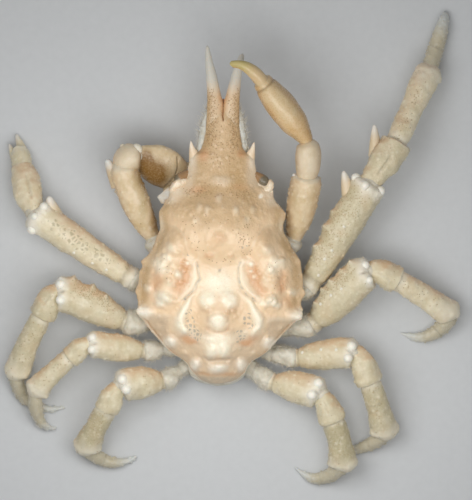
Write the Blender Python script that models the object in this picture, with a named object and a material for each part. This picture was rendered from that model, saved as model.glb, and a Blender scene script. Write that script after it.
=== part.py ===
"""A small horned spider crab at life size, lying on its belly with its legs spread, plate by plate.

Sizes are in millimetres until a mesh is made. +Z is up, +Y runs along the body to the two horns, and the
origin is on the floor under the middle of the breastplate. Neighbouring plates keep a thin gap, as at a joint.
"""

import math

import bmesh
import bpy
import numpy as np
from mathutils import Vector

MM = 0.001
GAP = 0.3
MERGE = 1e-4
SIDES = (("left", -1.0), ("right", 1.0))

# The back plate: half-widths, mid-line heights and margin heights at stations (y, size) from tail to horns.
BACK_HALF_WIDTH = (
    (-9.3, 0.9), (-8.6, 2.4), (-7.3, 3.3), (-6.2, 4.75), (-4.9, 6.0), (-3.5, 7.25), (-2.2, 7.85),
    (0.0, 8.15), (2.0, 8.05), (4.0, 7.1), (6.0, 6.2), (7.6, 6.15), (8.8, 5.5), (10.0, 4.5),
    (11.0, 3.6), (13.2, 3.1), (13.9, 2.3), (15.5, 1.75), (18.0, 1.6), (19.0, 1.3),
)
BACK_MIDLINE = (
    (-9.3, 4.5), (-8.4, 5.2), (-6.5, 5.9), (-3.0, 6.9), (0.0, 7.2), (2.0, 7.2), (5.0, 7.8),
    (8.0, 7.6), (10.0, 7.0), (12.0, 6.8), (15.0, 6.6), (19.0, 6.3),
)
BACK_MARGIN = (
    (-9.3, 4.2), (-7.0, 4.3), (-5.0, 4.5), (-2.4, 4.8), (3.0, 5.0), (6.0, 5.2), (8.0, 5.5),
    (11.0, 5.9), (14.0, 5.9), (19.0, 5.9),
)
BACK_UNDERSIDE = (
    (-9.3, 3.85), (0.0, 3.75), (6.0, 3.75), (9.0, 4.2), (12.0, 4.9), (13.6, 5.2), (14.4, 5.5), (19.0, 5.6),
)
BACK_COLUMNS = 28
BACK_STATIONS = np.concatenate([np.linspace(-9.3, 9.8, 35), np.linspace(10.6, 18.6, 10)])
MARGIN_TURN = ((1.0, 0.0), (0.97, 0.4), (0.84, 0.8), (0.62, 1.0))

# Lobes and bosses raised in the back plate: x, y, radius across, radius along, height. x over 0 is mirrored.
LOBES = (
    (0.0, 5.9, 3.7, 3.3, 1.4),
    (0.0, -1.9, 2.3, 2.9, 1.15),
    (5.2, 1.6, 2.3, 3.3, 1.1),
    (0.0, -6.0, 1.5, 1.5, 0.8),
    (5.0, 7.4, 1.3, 1.5, 0.35),
)
BOSSES = (
    (1.1, -1.05, 0.85, 0.95, 0.95),
    (0.0, -3.2, 1.0, 0.85, 0.9),
    (0.75, -6.2, 0.75, 0.8, 0.9),
    (0.0, -7.9, 0.9, 0.55, 0.6),
    (2.35, -7.4, 0.6, 0.6, 0.75),
    (5.0, -5.35, 0.75, 0.65, 0.85),
    (7.2, -2.4, 0.9, 0.75, 0.8),
    (7.1, -0.05, 0.55, 0.55, 0.45),
    (3.65, -3.7, 0.65, 0.95, 0.8),
    (3.25, -2.2, 0.5, 0.9, 0.5),
    (3.4, 1.9, 0.6, 0.8, 0.4),
    (5.3, -0.9, 0.7, 0.6, 0.5),
    (5.9, 2.6, 0.7, 0.7, 0.4),
    (5.0, 4.1, 0.7, 0.6, 0.35),
    (1.1, 3.6, 0.5, 0.5, 0.25),
    (0.0, 5.0, 0.7, 0.7, 0.25),
    (1.5, 8.0, 0.45, 0.6, 0.2),
)

# Outgrowths of the back plate's rim: root, tip, root radius, tip radius. Each is mirrored to the left.
RIM_OUTGROWTHS = {
    "liver tooth": ((5.4, 6.9, 5.3), (6.5, 7.4, 5.6), 0.7, 0.15),
    "gill tooth": ((7.1, 2.5, 5.1), (8.15, 2.9, 5.4), 0.65, 0.15),
    "side tooth": ((7.6, -0.5, 4.9), (8.8, -0.3, 5.2), 0.6, 0.15),
    "side knob": ((7.0, -2.3, 5.2), (7.85, -2.4, 5.6), 0.7, 0.5),
    "brow spine": ((2.55, 12.0, 6.1), (3.25, 14.9, 6.3), 0.8, 0.1),
    "cheek lobe": ((4.0, 8.8, 5.6), (5.05, 10.25, 6.0), 0.85, 0.22),
}
FACE = ((0.0, 9.75, 4.1), (3.0, 3.1, 1.9))
HORN_PATH = ((0.8, 15.8, 6.15), (0.75, 20.0, 6.1), (1.75, 24.0, 5.9))
HORN_RADII = ((0.0, 0.78, 0.42), (0.45, 0.66, 0.45), (0.75, 0.42, 0.38), (1.0, 0.1, 0.1))

# The breastplate that carries the legs: half-width at stations, and its heights.
BREAST_HALF_WIDTH = (
    (-8.3, 1.2), (-7.2, 2.5), (-5.5, 4.1), (-3.0, 5.5), (0.0, 6.0), (2.5, 5.6), (4.5, 4.6), (6.2, 3.0),
)
BREAST_TOP = 3.4
BREAST_SECTION = ((0.0, 0.0), (0.72, 0.0), (0.93, 0.28), (1.0, 0.6), (0.97, 1.0), (0.5, 1.0))
TAIL_PATH = (
    (0.0, -8.55, 3.2), (0.0, -9.2, 2.7), (0.0, -9.25, 1.7), (0.0, -8.6, 0.7), (0.0, -7.2, 0.3),
    (0.0, -3.0, 0.3), (0.0, 1.4, 0.3),
)
TAIL_HALF_WIDTH = ((0.0, 2.75), (0.18, 2.5), (0.4, 1.7), (0.7, 1.35), (0.93, 0.9), (1.0, 0.5))
TAIL_HALF_THICKNESS = 0.3
TAIL_ROUNDING = 0.07

# Limb plates, as shares of a plate's own half-width along its length.
THIGH_SHAPE = ((0.0, 0.5), (0.12, 0.66), (0.35, 0.92), (0.6, 1.0), (0.85, 0.95), (1.0, 0.86))
LONG_THIGH_SHAPE = ((0.0, 0.62), (0.3, 0.82), (0.7, 0.97), (1.0, 0.98))
KNEE_SHAPE = ((0.0, 0.74), (0.3, 0.98), (0.7, 1.06), (1.0, 0.9))
SHIN_SHAPE = ((0.0, 0.86), (0.2, 0.92), (0.55, 0.95), (0.82, 1.14), (0.95, 1.12), (1.0, 0.95))
BLADE_SHAPE = ((0.0, 1.0), (0.15, 0.97), (0.5, 0.74), (0.85, 0.38), (1.0, 0.14))
STRAIGHT_BLADE_SHAPE = ((0.0, 1.0), (0.5, 0.88), (0.85, 0.62), (1.0, 0.35))
HIP_SHAPE = ((0.0, 1.0), (0.45, 1.08), (0.6, 0.9), (1.0, 0.92))
PALM_SHAPE = ((0.0, 0.44), (0.1, 0.62), (0.3, 0.93), (0.55, 1.0), (0.85, 0.86), (1.0, 0.72))
LIMB_SIDES = 10
LIMB_BEND = 2.6
SETTLE = 0.06

# Teeth on the front edge of the second legs' thighs: place along it, length, and lean along the limb.
THIGH_TEETH = ((0.34, 0.4, 0.1), (0.52, 0.5, 0.2), (0.72, 0.6, 0.25), (0.93, 0.4, 0.2))

# Long spines and the claw arms' teeth: root, tip and root radius.
LIMB_SPINES = {
    "leg_1_left_thigh": ((-16.9, 7.9, 4.0), (-17.0, 9.6, 4.5), 0.6),
    "leg_1_right_thigh": ((12.7, 10.0, 4.8), (12.15, 12.2, 5.2), 0.6),
    "leg_1_right_knee": ((15.1, 14.6, 4.4), (15.05, 16.9, 4.6), 0.55),
    "claw_left_thigh": ((-10.8, 11.0, 4.6), (-11.45, 12.8, 5.0), 0.5),
    "claw_right_thigh": ((7.2, 10.6, 5.6), (6.7, 11.6, 6.2), 0.4),
}

# Walking legs, front to back: hip, thigh, knee, shin start and shin end as (x, y, z), then the blade's bend and
# tip, and the half-widths of hip, thigh, knee, shin and blade.
LEGS = {
    "leg_1_left": (
        ((-5.7, -0.1, 2.0), (-8.6, 0.9, 2.7), (-18.6, 7.4, 3.6), (-20.0, 11.9, 1.7), (-20.45, 13.9, 0.86)),
        None,
        (1.0, 1.65, 1.45, 1.02, 0.0),
    ),
    "leg_1_right": (
        ((5.7, -0.4, 2.0), (8.9, 0.6, 2.7), (15.0, 11.1, 4.5), (17.35, 15.1, 4.1), (20.6, 22.7, 1.5)),
        ((21.6, 25.9, 0.2), (22.1, 28.35, 0.2)),
        (1.0, 1.6, 1.6, 1.15, 0.88),
    ),
    "leg_2_left": (
        ((-5.3, -3.2, 1.9), (-9.0, -3.4, 2.5), (-16.2, -0.7, 4.4), (-17.7, -3.0, 3.9), (-20.2, -9.1, 1.7)),
        ((-19.6, -13.0, -0.6), (-15.2, -12.2, 0.2)),
        (1.0, 1.7, 1.4, 1.12, 0.78),
    ),
    "leg_2_right": (
        ((5.3, -3.3, 1.9), (9.3, -3.2, 2.5), (15.0, 2.2, 4.4), (17.8, 1.4, 4.0), (23.2, -2.2, 1.7)),
        ((21.5, -5.3, -0.4), (18.3, -3.9, 0.3)),
        (1.0, 1.7, 1.4, 1.15, 0.9),
    ),
    "leg_3_left": (
        ((-4.3, -5.7, 1.9), (-7.2, -6.3, 2.4), (-12.9, -5.8, 4.1), (-14.8, -7.1, 3.7), (-18.2, -10.7, 2.6)),
        ((-18.4, -14.2, 1.1), (-16.1, -14.3, 0.2)),
        (0.95, 1.35, 1.15, 1.02, 0.78),
    ),
    "leg_3_right": (
        ((4.3, -5.7, 1.9), (7.7, -6.6, 2.4), (13.7, -6.1, 4.1), (15.3, -8.9, 3.7), (16.85, -14.1, 1.7)),
        ((15.0, -16.0, -0.4), (12.1, -16.0, 0.3)),
        (0.95, 1.5, 1.36, 1.18, 0.82),
    ),
    "leg_4_left": (
        ((-2.7, -7.5, 1.9), (-5.3, -9.1, 2.4), (-9.7, -9.9, 4.0), (-11.1, -12.3, 3.6), (-12.8, -16.3, 1.7)),
        ((-10.2, -18.6, -0.5), (-7.95, -16.9, 0.3)),
        (0.9, 1.6, 1.25, 1.15, 0.82),
    ),
    "leg_4_right": (
        ((2.7, -7.5, 1.9), (5.3, -9.0, 2.4), (10.4, -10.3, 4.0), (11.7, -12.8, 3.6), (12.75, -17.4, 2.4)),
        ((10.4, -19.9, -0.6), (8.05, -17.65, 0.3)),
        (0.9, 1.55, 1.35, 1.2, 0.85),
    ),
}

# Claw arms: hip, thigh, knee, palm start and palm end; root, bend and tip of both fingers; half-widths, then
# half-depths, of hip, thigh, knee and palm; and the way that the palm's narrow side faces.
CLAW_ARMS = {
    "claw_left": {
        "joints": ((-4.6, 3.3, 2.0), (-6.7, 5.0, 2.8), (-9.8, 12.2, 4.9), (-8.4, 13.3, 4.5), (-3.9, 10.9, 2.1)),
        "moving_finger": ((-4.0, 11.9, 2.4), (-2.5, 12.7, 1.7), (-1.3, 11.8, 1.3)),
        "fixed_finger": ((-4.6, 9.9, 1.8), (-3.0, 9.9, 0.8), (-1.9, 11.0, 0.9)),
        "half_widths": (1.0, 1.4, 1.45, 2.2),
        "half_depths": (1.0, 1.3, 1.45, 1.15),
        "palm_faces": (-0.22, -0.38, 1.0),
    },
    "claw_right": {
        "joints": ((4.6, 3.3, 2.0), (7.3, 5.3, 2.8), (8.6, 11.7, 5.4), (8.6, 15.0, 6.4), (3.9, 20.8, 7.9)),
        "moving_finger": ((3.9, 20.9, 8.7), (2.4, 23.2, 9.9), (0.6, 22.5, 9.0)),
        "fixed_finger": ((4.0, 20.6, 7.3), (2.6, 22.9, 7.1), (0.75, 22.4, 8.2)),
        "half_widths": (1.0, 1.5, 1.3, 1.5),
        "half_depths": (1.0, 1.5, 1.45, 2.0),
        "palm_faces": (0.0, 0.0, 1.0),
    },
}

SHELL, KNOB_WHITE, HORNY, DARK = "shell", "pale_shell", "horny_finger", "eye"
FINISHES = {
    SHELL: ((0.72, 0.55, 0.38), 0.5),
    KNOB_WHITE: ((0.80, 0.74, 0.60), 0.5),
    HORNY: ((0.66, 0.47, 0.19), 0.35),
    DARK: ((0.10, 0.06, 0.04), 0.2),
}


def through(table, t):
    """Values at t of the smooth curve through a table's points, which never swings past them."""
    knots = np.array(table, float)
    x, y = knots[:, 0], knots[:, 1:]
    rise = np.diff(y, axis=0) / np.diff(x)[:, None]
    near, far = rise[:-1], rise[1:]
    same_way = near * far > 0
    middle = np.where(same_way, 2 * near * far / np.where(same_way, near + far, 1.0), 0.0)
    slope = np.concatenate([rise[:1], middle, rise[-1:]])
    t = np.atleast_1d(np.asarray(t, float))
    i = np.clip(np.searchsorted(x, t, side="right") - 1, 0, len(x) - 2)
    step = (x[i + 1] - x[i])[:, None]
    s = np.clip((t - x[i])[:, None] / step, 0.0, 1.0)
    start, end = (1 + 2 * s) * (1 - s) ** 2, s * s * (3 - 2 * s)
    return start * y[i] + s * (1 - s) ** 2 * step * slope[i] + end * y[i + 1] + s * s * (s - 1) * step * slope[i + 1]


def clear_scene():
    for old in list(bpy.data.objects):
        bpy.data.objects.remove(old)


def finish(name):
    """The material of one kind of plate, made once."""
    found = bpy.data.materials.get(name)
    if found:
        return found
    colour, roughness = FINISHES[name]
    made = bpy.data.materials.new(name)
    made.use_nodes = True
    shader = made.node_tree.nodes["Principled BSDF"]
    shader.inputs["Base Color"].default_value = (*colour, 1.0)
    shader.inputs["Roughness"].default_value = roughness
    return made


def node(name, form, look):
    """Makes an object from a form in millimetres, its faces turned outwards and shaded smooth."""
    bmesh.ops.scale(form, vec=(MM, MM, MM), verts=form.verts)
    bmesh.ops.recalc_face_normals(form, faces=form.faces)
    mesh = bpy.data.meshes.new(name)
    form.to_mesh(mesh)
    form.free()
    mesh.shade_smooth()
    mesh.set_sharp_from_angle(angle=math.radians(40))
    mesh.materials.append(finish(look))
    made = bpy.data.objects.new(name, mesh)
    bpy.context.scene.collection.objects.link(made)
    return made


def loft(rings):
    """A closed form through rings of as many points each, with a fan over each end."""
    form = bmesh.new()
    loops = [[form.verts.new(point) for point in ring] for ring in rings]
    count = len(loops[0])
    for near, far in zip(loops, loops[1:]):
        for i in range(count):
            j = (i + 1) % count
            form.faces.new((near[i], near[j], far[j], far[i]))
    for loop in (loops[0], loops[-1]):
        centre = form.verts.new(sum((v.co for v in loop), Vector()) / count)
        for i in range(count):
            form.faces.new((loop[i], loop[(i + 1) % count], centre))
    bmesh.ops.recalc_face_normals(form, faces=form.faces)
    return form


def sweep(path, half_sizes, sides=LIMB_SIDES, upright=(0, 0, 1)):
    """A tube along a path with elliptic sections, whose first half-size is level and second is upright."""
    path = np.array(path, float)
    along = np.gradient(path, axis=0)
    along /= np.linalg.norm(along, axis=1, keepdims=True)
    across = np.cross(along, upright)
    across /= np.linalg.norm(across, axis=1, keepdims=True)
    rise = np.cross(across, along)
    turn = (np.arange(sides) + 0.5) * 2 * math.pi / sides
    half_sizes = np.array(half_sizes, float) * 1.02
    return loft(
        [
            [
                Vector(path[k] + across[k] * half_sizes[k, 0] * math.cos(a) + rise[k] * half_sizes[k, 1] * math.sin(a))
                for a in turn
            ]
            for k in range(len(path))
        ]
    )


def bend(start, middle, end, steps):
    """Points of the curve that leaves start towards middle and comes into end from it."""
    t = np.linspace(0, 1, steps)[:, None]
    start, middle, end = (np.array(p, float) for p in (start, middle, end))
    return (1 - t) ** 2 * start + 2 * t * (1 - t) * middle + t * t * end


def spike(root, tip, root_radius, tip_radius, sides=5):
    """A tapering outgrowth with a blunt tip, for a union."""
    root, tip = np.array(root, float), np.array(tip, float)
    shares = np.array([0.0, 0.6, 1.0])
    radii = np.array([root_radius, root_radius * 0.45 + tip_radius * 0.55, tip_radius])
    path = root + shares[:, None] * (tip - root)
    upright = (0, 0, 1) if abs((tip - root)[2]) < 0.8 * np.linalg.norm(tip - root) else (0, 1, 0)
    return sweep(path, np.stack([radii, radii], 1), sides, upright)


def knob(centre, radius):
    """A small round boss, for a union."""
    form = bmesh.new()
    bmesh.ops.create_uvsphere(form, u_segments=6, v_segments=4, radius=radius)
    bmesh.ops.translate(form, vec=Vector(centre), verts=form.verts)
    return form


def ellipsoid(centre, radii):
    """A rounded mass, for a union."""
    form = bmesh.new()
    bmesh.ops.create_uvsphere(form, u_segments=12, v_segments=8, radius=1)
    bmesh.ops.scale(form, vec=Vector(radii), verts=form.verts)
    bmesh.ops.translate(form, vec=Vector(centre), verts=form.verts)
    return form


def cut(form, point, facing):
    """Keeps the part of a closed form in front of the plane at point that faces so, and closes it with a flat face."""
    everything = form.verts[:] + form.edges[:] + form.faces[:]
    made = bmesh.ops.bisect_plane(
        form, geom=everything, dist=MERGE, plane_co=point, plane_no=facing, clear_inner=True
    )
    edges = [e for e in made["geom_cut"] if isinstance(e, bmesh.types.BMEdge) and e.is_boundary]
    if edges:
        bmesh.ops.holes_fill(form, edges=edges)
    return form


def onto_floor(form):
    """Cuts a form flat where it would sink below the floor."""
    return cut(form, Vector((0, 0, 0)), Vector((0, 0, 1)))


def boolean(base, others, operation):
    """Joins forms to a base form, or takes them away from it, and returns what results."""
    target = node("target", base, SHELL)
    group = bpy.data.collections.new("pieces")
    bpy.context.scene.collection.children.link(group)
    for other in others:
        piece = node("piece", other, SHELL)
        bpy.context.scene.collection.objects.unlink(piece)
        group.objects.link(piece)
    change = target.modifiers.new("join", "BOOLEAN")
    change.operation = operation
    change.operand_type = "COLLECTION"
    change.collection = group
    graph = bpy.context.evaluated_depsgraph_get()
    form = bmesh.new()
    form.from_mesh(target.evaluated_get(graph).to_mesh())
    for piece in [target, *group.objects]:
        bpy.data.objects.remove(piece)
    bpy.data.collections.remove(group)
    bmesh.ops.scale(form, vec=(1 / MM,) * 3, verts=form.verts)
    bmesh.ops.triangulate(form, faces=form.faces)
    bmesh.ops.dissolve_degenerate(form, dist=MERGE, edges=form.edges)
    return largest_piece(form)


def largest_piece(form):
    """Drops every loose scrap but the form's largest closed surface."""
    unseen, shells = set(form.faces), []
    while unseen:
        shell, front = set(), [unseen.pop()]
        while front:
            face = front.pop()
            shell.add(face)
            near = {f for edge in face.edges for f in edge.link_faces} & unseen
            unseen -= near
            front.extend(near)
        shells.append(shell)
    keep = max(shells, key=lambda shell: sum(face.calc_area() for face in shell))
    loose = [face for shell in shells if shell is not keep for face in shell]
    bmesh.ops.delete(form, geom=loose, context="FACES")
    return form


def swelling(x, y, table, sharpness):
    """Height that a table of round lobes adds at x, y. Each falls off with its distance in its own radii."""
    total = np.zeros_like(x)
    for at_x, at_y, across, along, height in table:
        for side in (1, -1) if at_x else (1,):
            reach = ((x - side * at_x) / across) ** 2 + ((y - at_y) / along) ** 2
            total += height * np.exp(-(reach**sharpness))
    return total


def back_ring(y):
    """One section of the back plate: over the top from the right margin, then back underneath."""
    half = through(BACK_HALF_WIDTH, y)[0, 0]
    middle, rim, under = (through(t, y)[0, 0] for t in (BACK_MIDLINE, BACK_MARGIN, BACK_UNDERSIDE))
    share = np.cos(np.linspace(0, math.pi, BACK_COLUMNS + 1))
    x = half * share
    dome = (1 - np.abs(share) ** 2.4) ** 0.7
    inside = 1 - np.abs(share) ** 6
    raised = swelling(x, np.full_like(x, y), LOBES, 1.0) + swelling(x, np.full_like(x, y), BOSSES, 1.3)
    z = rim + (middle - rim) * dome + raised * inside
    top = [Vector((x[i], y, z[i])) for i in range(len(x))]
    turn = [Vector((-half * w, y, rim + (under - rim) * d)) for w, d in MARGIN_TURN[1:]]
    return top + turn + [Vector((-p.x, p.y, p.z)) for p in reversed(turn)]


def mirrored(point, side):
    return (point[0] * side, point[1], point[2])


def build_back_plate():
    """The back plate with its horns, brow spines, cheek lobes, rim teeth and face, which are one shell."""
    growths = [ellipsoid(*FACE)]
    for _, side in SIDES:
        growths += [spike(mirrored(a, side), mirrored(b, side), r, s, 6) for a, b, r, s in RIM_OUTGROWTHS.values()]
        path = bend(*(mirrored(p, side) for p in HORN_PATH), 8)
        growths.append(sweep(path, through(HORN_RADII, np.linspace(0, 1, 8)), 8))
    node("carapace", boolean(loft([back_ring(y) for y in BACK_STATIONS]), growths, "UNION"), SHELL)


def breast_form(extra=0.0):
    """The breastplate, or a cutter that is larger by extra on every side."""
    rings = []
    stations = np.linspace(BREAST_HALF_WIDTH[0][0], BREAST_HALF_WIDTH[-1][0], 14)
    stations[0] -= extra
    stations[-1] += extra
    for y in stations:
        half = through(BREAST_HALF_WIDTH, y)[0, 0] + extra
        low, high = -extra, BREAST_TOP + extra
        right = [Vector((half * w, y, low + (high - low) * h)) for w, h in BREAST_SECTION[1:]]
        rings.append(right + [Vector((-p.x, p.y, p.z)) for p in reversed(right)])
    return loft(rings)


def tail_form(extra=0.0):
    """The tail flap, folded under the body, or a cutter larger by extra on every side."""
    knots = [(i / (len(TAIL_PATH) - 1), *point) for i, point in enumerate(TAIL_PATH)]
    t = np.linspace(0, 1, 17)
    widths = through(TAIL_HALF_WIDTH, t)[:, 0] + extra
    depth = TAIL_HALF_THICKNESS + extra
    path = through(knots, t)
    along = np.gradient(path, axis=0)
    along /= np.linalg.norm(along, axis=1, keepdims=True)
    path[0] -= along[0] * extra
    path[-1] += along[-1] * extra
    normal = np.cross(along, (1, 0, 0))
    corners = ((1.0, 0.0), (0.8, 1.0), (0.0, 1.15), (-0.8, 1.0), (-1.0, 0.0), (-0.8, -1.0), (0.0, -1.0), (0.8, -1.0))
    rings = []
    for k in range(len(path)):
        ring = [path[k] + np.array((widths[k] * a, 0, 0)) + normal[k] * depth * b for a, b in corners]
        rings.append([Vector((x, y + TAIL_ROUNDING * x * x, z)) for x, y, z in ring])
    return loft(rings)


def build_underside():
    """Breastplate, tail flap and the pair of mouth plates."""
    node("tail_flap", onto_floor(tail_form()), KNOB_WHITE)
    node("breastplate", boolean(breast_form(), [tail_form(GAP * 1.2)], "DIFFERENCE"), KNOB_WHITE)
    for name, side in SIDES:
        path = bend((1.05 * side, 6.75, 1.85), (1.05 * side, 8.6, 0.7), (0.95 * side, 10.4, 1.6), 6)
        widths = through(((0.0, 0.72), (0.5, 0.85), (1.0, 0.65)), np.linspace(0, 1, 6))[:, 0]
        node(f"mouth_plate_{name}", sweep(path, np.stack([widths, np.full(6, 0.42)], 1)), KNOB_WHITE)


def build_head():
    """Eyes on their stalks beside the brow, and the feelers beside the horns."""
    for name, side in SIDES:
        stalk = spike((4.0 * side, 11.4, 5.85), (4.45 * side, 11.3, 6.05), 0.34, 0.34)
        node(f"eye_{name}", boolean(knob((4.45 * side, 11.45, 6.05), 0.5), [stalk], "UNION"), DARK)
        path = bend((2.15 * side, 14.3, 5.0), (2.2 * side, 16.8, 5.1), (1.95 * side, 19.4, 5.15), 6)
        radii = through(((0.0, 0.34), (0.45, 0.3), (0.6, 0.24), (1.0, 0.12)), np.linspace(0, 1, 6))[:, 0]
        node(f"feeler_{name}", sweep(path, np.stack([radii, radii], 1), 8), KNOB_WHITE)


def unit(vector):
    return Vector(vector).normalized()


class Plate:
    """The gently bent line of one limb plate between two joints, with the heading at each."""

    def __init__(self, start, end, leave, arrive):
        self.start, self.end = Vector(start), Vector(end)
        self.leave, self.arrive = unit(leave), unit(arrive)

    def points(self, count, reach):
        """Points from joint to joint, run past both by reach so that the ends can be cut to fit."""
        start, end = np.array(self.start), np.array(self.end)
        leave, arrive = np.array(self.leave), np.array(self.arrive)
        pull = min(np.linalg.norm(end - start), LIMB_BEND)
        t = np.linspace(0, 1, count)[:, None]
        inner = start * (1 + 2 * t) * (1 - t) ** 2 + end * t * t * (3 - 2 * t)
        inner += pull * (leave * t * (1 - t) ** 2 + arrive * t * t * (t - 1))
        return np.concatenate([[start - leave * reach], inner, [end + arrive * reach]])

    def form(self, shape, half_width, half_depth, count, reach=0.9, faces=(0, 0, 1)):
        share = through(shape, np.clip(np.linspace(-1 / (count - 1), count / (count - 1), count + 2), 0, 1))[:, 0]
        return sweep(self.points(count, reach), np.stack([share * half_width, share * half_depth], 1), upright=faces)

    def trim(self, form, near=True, far=True):
        """Cuts a plate at its joints, leaving half of the gap at each, and flat where it meets the floor."""
        if near:
            cut(form, self.start + self.leave * GAP / 2, self.leave)
        if far:
            cut(form, self.end - self.arrive * GAP / 2, -self.arrive)
        return onto_floor(form)


def plates(joints):
    """The plates between joints in a row. Both plates at a joint share the heading halfway between them."""
    joints = [Vector(joint) for joint in joints]
    runs = [unit(b - a) for a, b in zip(joints, joints[1:])]
    headings = [runs[0], *(unit(a + b) for a, b in zip(runs, runs[1:])), runs[-1]]
    return [Plate(*pair) for pair in zip(joints, joints[1:], headings, headings[1:])]


def hinge_knobs(plate, half_width, radius):
    """The two round hinge knobs on the far end of a thigh's upper face."""
    across = plate.arrive.cross(Vector((0, 0, 1))).normalized()
    back = plate.end - plate.arrive * radius * 1.2 + Vector((0, 0, half_width * 0.5))
    return [knob(back + across * half_width * 0.66 * side, radius) for side in (1, -1)]


def teeth(plate, half_width, front):
    """The second legs' row of teeth on the front edge of a thigh."""
    along = unit(plate.end - plate.start)
    across = along.cross(Vector((0, 0, 1))).normalized() * front
    found = []
    for place, length, lean in THIGH_TEETH:
        root = plate.start.lerp(plate.end, place) + across * half_width * 0.6 + Vector((0, 0, half_width * 0.3))
        way = unit(across * (1 - lean) + along * lean + Vector((0, 0, 0.2)))
        found.append(spike(root, root + way * (length + half_width * 0.3), 0.5, 0.12))
    return found


def spines(name):
    """The long spine of one named plate, if it has one."""
    if name not in LIMB_SPINES:
        return []
    root, tip, radius = LIMB_SPINES[name]
    return [spike(root, tip, radius, 0.1)]


def build_leg(name, joints, blade, half_widths):
    """One walking leg in five plates: hip, thigh, knee, shin and blade."""
    hip_w, thigh_w, knee_w, shin_w, blade_w = half_widths
    front = -1 if joints[0][0] > 0 else 1
    bow, tip = (Vector(p) for p in blade) if blade else (None, None)
    ankle = Vector(joints[-1])
    hip, thigh, knee, shin, *foot = plates([*joints, ankle + unit(bow - ankle)] if blade else joints)
    hip_form = hip.trim(hip.form(HIP_SHAPE, hip_w, hip_w, 4), near=False)
    node(f"{name}_hip", boolean(hip_form, [breast_form(GAP * 1.5)], "DIFFERENCE"), KNOB_WHITE)
    growths = hinge_knobs(thigh, thigh_w, 0.42) + spines(f"{name}_thigh")
    if name.startswith("leg_2"):
        growths += teeth(thigh, thigh_w, front)
    thigh_shape = LONG_THIGH_SHAPE if name.startswith("leg_1") else THIGH_SHAPE
    thigh_form = boolean(thigh.form(thigh_shape, thigh_w, thigh_w * 0.92, 7), growths, "UNION")
    node(f"{name}_thigh", thigh.trim(thigh_form), KNOB_WHITE)
    knee_form = knee.form(KNEE_SHAPE, knee_w, knee_w * 0.92, 4)
    if f"{name}_knee" in LIMB_SPINES:
        knee_form = boolean(knee_form, spines(f"{name}_knee"), "UNION")
    node(f"{name}_knee", knee.trim(knee_form), KNOB_WHITE)
    if not blade:
        node(f"{name}_shin", shin.trim(broken_shin(shin, shin_w), far=False), KNOB_WHITE)
        return
    node(f"{name}_shin", shin.trim(shin.form(SHIN_SHAPE, shin_w, shin_w * 0.95, 6)), KNOB_WHITE)
    path = bend(ankle - unit(bow - ankle) * 0.8, bow, tip, 8)
    shape = STRAIGHT_BLADE_SHAPE if name == "leg_1_right" else BLADE_SHAPE
    widths = through(shape, np.linspace(0, 1, 8))[:, 0] * blade_w
    path[:, 2] = np.maximum(path[:, 2], widths - SETTLE)
    node(f"{name}_blade", foot[0].trim(sweep(path, np.stack([widths * 0.9, widths], 1), 8), far=False), KNOB_WHITE)


def broken_shin(plate, half_width):
    """The stump of a shin that broke off: a short tube with a hollow end and two shards of shell on its rim."""
    start, run = np.array(plate.start), np.array(plate.end - plate.start)
    along = run / np.linalg.norm(run)
    across = np.cross(along, (0, 0, 1))
    across /= np.linalg.norm(across)
    rise = np.cross(across, along)
    turn = np.arange(LIMB_SIDES) * 2 * math.pi / LIMB_SIDES
    rings = []
    for place, share in ((-0.5, 0.95), (0.5, 0.95), (1.0, 0.88), (1.0, 0.5), (0.62, 0.45)):
        around = [across * math.cos(a) + rise * math.sin(a) for a in turn]
        rings.append([Vector(start + run * place + way * half_width * share) for way in around])
    shards = []
    for offset, length, radius in ((0.25, 1.3, 0.42), (-0.7, 0.55, 0.26)):
        rim = start + run + across * half_width * offset
        shards.append(spike(rim - along * 0.9, rim + along * length, radius, 0.12))
    return boolean(loft(rings), shards, "UNION")


def build_claw_arm(name, arm):
    """A claw arm: hip, thigh, knee, and a palm with a fixed finger, closed by a moving finger."""
    widths, depths = arm["half_widths"], arm["half_depths"]
    hip, thigh, knee, palm = plates(arm["joints"])
    hip_form = hip.trim(hip.form(HIP_SHAPE, widths[0], depths[0], 4), near=False)
    node(f"{name}_hip", boolean(hip_form, [breast_form(GAP * 1.35)], "DIFFERENCE"), KNOB_WHITE)
    thigh_form = boolean(thigh.form(THIGH_SHAPE, widths[1], depths[1], 7), spines(f"{name}_thigh"), "UNION")
    node(f"{name}_thigh", thigh.trim(thigh_form), SHELL)
    node(f"{name}_knee", knee.trim(knee.form(KNEE_SHAPE, widths[2], depths[2], 5)), SHELL)
    palm_form = palm.form(PALM_SHAPE, widths[3], depths[3], 8, faces=arm["palm_faces"])
    palm_form = boolean(palm_form, [finger_form(arm["fixed_finger"], 0.6, lead=1.3)], "UNION")
    root = Vector(arm["moving_finger"][0])
    way = unit(Vector(arm["moving_finger"][1]) - root)
    clear = finger_form(arm["moving_finger"], 0.62 + GAP * 1.4, lead=0.9 + GAP * 1.2)
    palm_form = boolean(palm_form, [clear], "DIFFERENCE")
    node(f"{name}_palm", palm.trim(palm_form, far=False), SHELL)
    node(f"{name}_finger", onto_floor(finger_form(arm["moving_finger"], 0.62, lead=0.9)), HORNY)


def finger_form(points, half_width, lead):
    """A tapering curved finger that starts lead before its root."""
    root, bow, tip = (Vector(p) for p in points)
    path = bend(root - unit(bow - root) * lead, bow, tip, 7)
    widths = through(BLADE_SHAPE, np.linspace(0, 1, 7))[:, 0] * half_width
    return sweep(path, np.stack([widths, widths], 1), 8)


def main():
    clear_scene()
    build_back_plate()
    build_underside()
    build_head()
    for name, (joints, blade, half_widths) in LEGS.items():
        build_leg(name, joints, blade, half_widths)
    for name, arm in CLAW_ARMS.items():
        build_claw_arm(name, arm)


main()
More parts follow.
